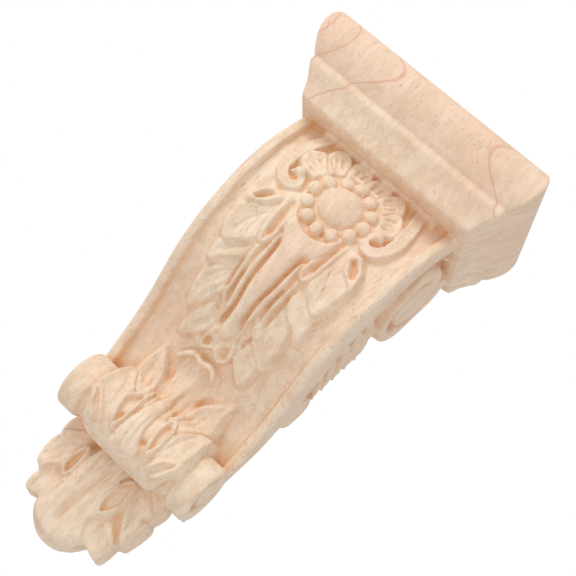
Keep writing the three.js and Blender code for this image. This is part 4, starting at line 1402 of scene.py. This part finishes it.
@dataclass(frozen=True)
class PaleWood:
    """Bare pale wood, sanded: upright grain with short pores and growth rings, and warm orange
    shade painted into hollows and creases.

    Scales are for metres, and are smallest along the grain. Each growth ring is the place across
    of its middle and its radius.
    """

    name: str = "pale_wood"
    cream: Colour = (0.88, 0.715, 0.55, 1.0)
    pink: Colour = (0.87, 0.61, 0.46, 1.0)
    straw: Colour = (0.76, 0.56, 0.39, 1.0)
    ring: Colour = (0.72, 0.33, 0.22, 1.0)
    pore: Colour = (0.58, 0.34, 0.20, 1.0)
    # hollow is painted shade: a warm dark orange mixed in where the surface is sheltered, in
    # hollows, grooves and creases
    hollow: Colour = (0.81, 0.465, 0.225, 1.0)
    rings: tuple[Point, ...] = ((0.0080, 0.0823), (0.0135, 0.0959), (0.0135, 0.1026))
    ring_wander: float = 0.0022
    ring_width: Point = (0.00003, 0.00042)
    wander_scale: Scale = (30, 30, 6)
    blotch_scale: Scale = (26, 26, 9)
    streak_scale: Scale = (420, 420, 16)
    fine_scale: Scale = (1500, 1500, 60)
    mottle_scale: Scale = (170, 170, 90)
    gather_scale: Scale = (90, 90, 22)
    second_pores: Scale = (0.31, 0.17, 0.07)
    roughness: float = 0.62
    specular: float = 0.3

    def growth_rings(self, shader: Shader, place: Signal) -> Signal:
        """Thin dark lines where the growth rings reach the surface."""
        wander = shader.noise(place, self.wander_scale)
        lines = None
        for middle, reach in self.rings:
            flat = shader.vector("SUBTRACT", place, (middle, 0, 0))
            flat = shader.vector("MULTIPLY", flat, (1, 1, 0))
            length = shader.node("ShaderNodeVectorMath", {"operation": "LENGTH"}, {0: flat})
            radius = length["Value"] + (wander - 0.5) * self.ring_wander
            away = shader.maths("ABSOLUTE", radius - reach, 0.0)
            line = 1.0 - away.between(*self.ring_width)
            lines = line if lines is None else shader.maths("MAXIMUM", lines, line)
        return lines

    def pores(
        self, shader: Shader, place: Signal, spacing: float, length: float, size: float
    ) -> Signal:
        """Short dark dashes along the grain, which are dots where the grain is cut across."""
        stretched = shader.vector("MULTIPLY", place, (1 / spacing, 1 / spacing, 1 / length))
        inputs = {"Vector": stretched, "Scale": 1.0}
        cells = shader.node("ShaderNodeTexVoronoi", {"feature": "F1"}, inputs)
        chance = shader.node("ShaderNodeSeparateColor", {}, {0: cells["Color"]})["Red"]
        dash = 1.0 - cells["Distance"].between(size * 0.5, size)
        return dash * chance.between(0.3, 0.7)

    def dashes(self, shader: Shader, place: Signal) -> Signal:
        """All pores, thicker in some patches than in others."""
        moved = shader.vector("ADD", place, self.second_pores)
        dashes = shader.maths(
            "MAXIMUM",
            self.pores(shader, place, spacing=0.0006, length=0.0056, size=0.3),
            self.pores(shader, moved, spacing=0.0012, length=0.0075, size=0.22),
        )
        gathered = shader.noise(place, self.gather_scale)
        return dashes * (0.4 + gathered.between(0.4, 0.62) * 0.6)

    def make(self) -> bpy.types.Material:
        """The material."""
        material = bpy.data.materials.new(self.name)
        material.use_nodes = True
        shader = Shader(material.node_tree)
        place = shader.node("ShaderNodeTexCoord", {}, {})["Object"]
        # how open each point is, which sets the painted shade mixed in below
        openness_for_painted_shade = shader.node("ShaderNodeAttribute", {"attribute_name": "openness_for_painted_shade"}, {})["Fac"]
        blotch = shader.noise(place, self.blotch_scale, 3.0)
        streak = shader.noise(place, self.streak_scale, 3.0, 0.6)
        fine = shader.noise(place, self.fine_scale)
        mottle = shader.noise(place, self.mottle_scale, 3.0, 0.65)
        dashes = self.dashes(shader, place)
        height = shader.node("ShaderNodeSeparateXYZ", {}, {"Vector": place})["Z"]
        blush = blotch.between(0.35, 0.68) * 0.7 + height.between(0.085, 0.1) * 0.45
        colour = shader.mix(blush, self.cream, self.pink)
        for share, tint in (
            (mottle.between(0.45, 0.64) * 0.68, self.straw),
            (streak.between(0.42, 0.70) * 0.7, self.straw),
            (self.growth_rings(shader, place) * 0.55, self.ring),
            (dashes * 0.88, self.pore),
            # painted shade: the hollow colour is mixed in more as the measured openness falls, in
            # hollows and creases, and less on ridges
            ((1.0 - openness_for_painted_shade.between(0.16, 0.86)) * 0.86, self.hollow),
        ):
            colour = shader.mix(share, colour, tint)
        relief = fine * 0.5 + streak * 0.6 - dashes * 0.8
        inputs = {"Strength": 0.25, "Distance": 0.0003, "Height": relief}
        bump = shader.node("ShaderNodeBump", {}, inputs)["Normal"]
        rough = self.roughness + streak * 0.12
        inputs = {"Base Color": colour, "Roughness": rough, "Normal": bump}
        inputs["Specular IOR Level"] = self.specular
        skin = shader.node("ShaderNodeBsdfPrincipled", {}, inputs)
        shader.node("ShaderNodeOutputMaterial", {}, {"Surface": skin["BSDF"]})
        return material


@dataclass
class Corbel:
    """The whole corbel, carved from one block.

    voxel is the size at which the forms are fused, and faces how many triangles stay. How open each
    point is, which sets the shade painted into the wood's colour, is measured with rays no longer
    than reach.
    """

    finish: PaleWood = PaleWood()
    name: str = "corbel"
    voxel: float = 0.42
    faces: int = 190000
    rays: int = 20
    reach: float = 14.0
    lift: float = 0.00012
    # the next two set how far creases deepen the painted shade and ridges are painted lighter
    crease_rounds: int = 24
    crease_shade_share: float = 0.5

    def solids(self) -> dict[str, bmesh.types.BMesh]:
        """The closed forms that the corbel is made of."""
        body, scroll = Body(), Scroll()
        return {
            "cap": Cap().build(),
            "body": body.build(),
            "scroll": scroll.build(),
            "drape": Drape(body, scroll).build(),
            "tail": Tail().build(),
            "block": Block(scroll).build(),
        }

    def joined(self) -> bpy.types.Object:
        """All forms in one mesh, in metres."""
        whole = bmesh.new()
        for name, bm in self.solids().items():
            part = bpy.data.meshes.new(name)
            bmesh.ops.triangulate(bm, faces=bm.faces[:])
            bm.to_mesh(part)
            log.info("%s: %d faces", name, len(bm.faces))
            whole.from_mesh(part)
            bm.free()
            bpy.data.meshes.remove(part)
        bmesh.ops.scale(whole, vec=(MILLIMETRE,) * 3, verts=whole.verts[:])
        mesh = bpy.data.meshes.new(self.name)
        whole.to_mesh(mesh)
        whole.free()
        piece = bpy.data.objects.new(self.name, mesh)
        bpy.context.scene.collection.objects.link(piece)
        return piece

    def bake_modifiers(self, piece: bpy.types.Object) -> None:
        """Replaces a piece's mesh by what its modifiers make of it."""
        shown = piece.evaluated_get(bpy.context.evaluated_depsgraph_get())
        made = bpy.data.meshes.new_from_object(shown)
        piece.modifiers.clear()
        piece.data = made

    def fuse(self, piece: bpy.types.Object) -> None:
        """Makes one closed skin of the joined forms and thins it where it is flat."""
        voxel = self.voxel * 1.0
        remesh = piece.modifiers.new("fuse", "REMESH")
        remesh.mode, remesh.voxel_size = "VOXEL", voxel * MILLIMETRE
        soften = piece.modifiers.new("soften", "SMOOTH")
        soften.factor, soften.iterations = 0.5, 2
        self.bake_modifiers(piece)
        count = sum(len(p.vertices) - 2 for p in piece.data.polygons)
        thin = piece.modifiers.new("thin", "DECIMATE")
        thin.ratio = min(1.0, self.faces / count)
        self.bake_modifiers(piece)
        log.info("fused skin: %d triangles, then %d", count, len(piece.data.polygons))

    def fit(self, piece: bpy.types.Object) -> None:
        """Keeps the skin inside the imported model's box, flat on the wall."""
        mesh = piece.data
        points = self.read_floats(mesh.vertices, "co")
        low, high = np.array(cad_box[0]), np.array(cad_box[1])
        points = np.clip(points, low, high)
        mesh.vertices.foreach_set("co", points.astype(np.float32).ravel())
        mesh.update()

    def read_floats(self, rows: Any, name: str) -> Array:
        """A mesh's vectors of one kind, one row each."""
        values = np.empty(len(rows) * 3, np.float32)
        rows.foreach_get(name, values)
        return values.reshape(-1, 3)

    def free_sky(self, mesh: bpy.types.Mesh, points: Array, normals: Array) -> Array:
        """The share of the rays from each point that meet nothing, or meet it far away.

        Args:
            mesh: the skin.
            points: its points.
            normals: their normals.

        Returns:
            A share for each point.
        """
        corners = [tuple(p.vertices) for p in mesh.polygons]
        tree = BVHTree.FromPolygons([tuple(p) for p in points], corners)
        rays = self.rays
        turns = np.arange(rays) * math.pi * (3 - math.sqrt(5))
        rise = np.sqrt(1 - (np.arange(rays) + 0.5) / rays)
        spread = np.sqrt(1 - rise**2)
        helper = np.where(np.abs(normals[:, 2:3]) < 0.9, [[0, 0, 1.0]], [[1.0, 0, 0]])
        first = np.cross(normals, helper)
        first /= np.linalg.norm(first, axis=1)[:, None] + 1e-12
        second = np.cross(normals, first)
        free = np.zeros(len(points))
        reach = self.reach * MILLIMETRE
        starts = points + normals * self.lift
        for turn, up, out in zip(turns, rise, spread):
            ways = normals * up + (first * math.cos(turn) + second * math.sin(turn)) * out
            for i, start in enumerate(starts):
                distance = tree.ray_cast(start, ways[i], reach)[3]
                free[i] += 1.0 if distance is None else (distance / reach) ** 0.7
        return free / rays

    def measure_shelter(self, piece: bpy.types.Object) -> None:
        """Stores how open each point is, from 0 in a deep hollow or crease to 1 in the open, for
        the painted shade.
        """
        mesh = piece.data
        points = self.read_floats(mesh.vertices, "co").astype(float)
        normals = self.read_floats(mesh.vertex_normals, "vector").astype(float)
        free = self.free_sky(mesh, points, normals)
        count = len(points)
        edges = np.empty(len(mesh.edges) * 2, np.int32)
        mesh.edges.foreach_get("vertices", edges)
        tails, heads = edges.reshape(-1, 2).T
        degree = np.bincount(edges, minlength=count) + TINY

        def even(values: Array) -> Array:
            """The values, each drawn halfway towards its neighbours' average."""
            total = np.bincount(tails, values[heads], count)
            total += np.bincount(heads, values[tails], count)
            return 0.5 * values + 0.5 * total / degree

        for _ in range(2):
            free = even(free)
        round_about = points.copy()
        for _ in range(self.crease_rounds):
            round_about = np.stack([even(axis) for axis in round_about.T], -1)
        crease = ((round_about - points) * normals).sum(1) / MILLIMETRE
        length = np.linalg.norm(points[tails] - points[heads], axis=1) / MILLIMETRE
        spacing = np.bincount(tails, length, count) + np.bincount(heads, length, count)
        sharp = np.clip(crease, -0.3, 0.8) * np.clip(1.7 - spacing / degree, 0, 1)
        # painted shade and highlight: creases lower the openness so more shade is painted there,
        # ridges raise it so they are painted lighter
        free -= self.crease_shade_share * sharp
        store = mesh.attributes.new("openness_for_painted_shade", "FLOAT", "POINT")
        store.data.foreach_set("value", free.astype(np.float32))

    def build(self) -> bpy.types.Object:
        """The finished piece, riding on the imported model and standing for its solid."""
        piece = self.joined()
        self.fuse(piece)
        self.fit(piece)
        self.measure_shelter(piece)
        mesh = piece.data
        mesh.polygons.foreach_set("use_smooth", [True] * len(mesh.polygons))
        mesh.materials.clear()
        mesh.materials.append(self.finish.make())
        even = piece.modifiers.new("even_normals", "WEIGHTED_NORMAL")
        even.mode, even.weight, even.keep_sharp = "FACE_AREA", 50, False
        self.bake_modifiers(piece)
        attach(piece, "root")
        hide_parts("carved_corbel")
        return piece


@dataclass(frozen=True)
class Light:
    """A square soft light: its name, place, size in metres, power in watts and colour."""

    name: str
    place: tuple[float, float, float]
    size: float
    power: float
    colour: tuple[float, float, float] = (1.0, 1.0, 1.0)


@dataclass
class Studio:
    """A white room with soft lights, a pale floor and the camera.

    The camera looks at the target from an azimuth and an elevation, and is rolled, all in degrees.
    """

    target: tuple[float, ...] = (-0.00847, 0.0, 0.03308)
    azimuth: float = 15.402
    elevation: float = -14.522
    distance: float = 0.5463
    roll: float = 45.63
    lens: float = 78.6
    sensor: float = 36.0
    floor_height: float = -0.9
    floor_size: float = 3.0
    floor_colour: Colour = (0.85, 0.85, 0.85, 1)
    room_light: float = 0.66
    lights: tuple[Light, ...] = (
        Light("key", (-0.75, -0.85, 0.75), 0.55, 7.6),
        Light("fill", (0.2, -1.2, -0.5), 0.9, 2.5),
        Light("side", (1.3, 0.1, 0.1), 0.9, 1.6, (0.62, 0.84, 1.0)),
    )

    def camera(self) -> None:
        """The camera, at the photograph's angle."""
        az, el, roll = (math.radians(a) for a in (self.azimuth, self.elevation, self.roll))
        back = Vector((math.sin(az) * math.cos(el), -math.cos(az) * math.cos(el), math.sin(el)))
        right = (-back).cross(Vector((0, 0, 1))).normalized()
        up = right.cross(-back)
        x = right * math.cos(roll) + up * math.sin(roll)
        y = up * math.cos(roll) - right * math.sin(roll)
        lens = bpy.data.cameras.new("camera")
        lens.lens, lens.sensor_width = self.lens, self.sensor
        lens.clip_start, lens.clip_end = 0.01, 20.0
        holder = bpy.data.objects.new("camera", lens)
        turn = Matrix((x, y, back)).transposed().to_4x4()
        place = Vector(self.target) + back * self.distance
        holder.matrix_world = Matrix.Translation(place) @ turn
        bpy.context.scene.collection.objects.link(holder)
        bpy.context.scene.camera = holder

    def hang(self, light: Light) -> None:
        """Hangs a light so that it faces the corbel."""
        lamp = bpy.data.lights.new(light.name, "AREA")
        lamp.shape, lamp.size = "SQUARE", light.size
        lamp.energy, lamp.color = light.power, light.colour
        holder = bpy.data.objects.new(light.name, lamp)
        holder.location = light.place
        way = Vector(self.target) - Vector(light.place)
        holder.rotation_euler = way.to_track_quat("-Z", "Y").to_euler()
        bpy.context.scene.collection.objects.link(holder)

    def world(self) -> None:
        """Even white light, and a white background."""
        world = bpy.data.worlds.new("room")
        world.use_nodes = True
        bpy.context.scene.world = world
        shader = Shader(world.node_tree)
        seen = shader.node("ShaderNodeLightPath", {}, {})["Is Camera Ray"]
        strength = self.room_light + seen * (1.0 - self.room_light)
        inputs = {"Color": (1, 1, 1, 1), "Strength": strength}
        sky = shader.node("ShaderNodeBackground", {}, inputs)
        shader.node("ShaderNodeOutputWorld", {}, {"Surface": sky["Background"]})

    def floor(self) -> None:
        """A plain pale floor, well below the corbel."""
        bm = bmesh.new()
        bmesh.ops.create_grid(bm, x_segments=1, y_segments=1, size=self.floor_size / 2)
        bmesh.ops.translate(bm, vec=(0, 0, self.floor_height), verts=bm.verts[:])
        mesh = bpy.data.meshes.new("floor")
        bm.to_mesh(mesh)
        bm.free()
        ground = bpy.data.objects.new("floor", mesh)
        bpy.context.scene.collection.objects.link(ground)
        paint = bpy.data.materials.new("floor")
        paint.use_nodes = True
        shader = Shader(paint.node_tree)
        inputs = {"Base Color": self.floor_colour, "Roughness": 0.9}
        matt = shader.node("ShaderNodeBsdfPrincipled", {}, inputs)
        shader.node("ShaderNodeOutputMaterial", {}, {"Surface": matt["BSDF"]})
        mesh.materials.append(paint)

    def build(self) -> None:
        """The whole studio."""
        self.camera()
        self.world()
        self.floor()
        for light in self.lights:
            self.hang(light)
        bpy.context.scene.view_settings.view_transform = "Standard"


def main() -> None:
    """Builds the studio and the corbel."""
    logging.basicConfig(level=logging.INFO, format="%(name)s: %(message)s")
    Studio().build()
    piece = Corbel().build()
    log.info("%s: %d faces", piece.name, len(piece.data.polygons))


if __name__ == "__main__":
    main()
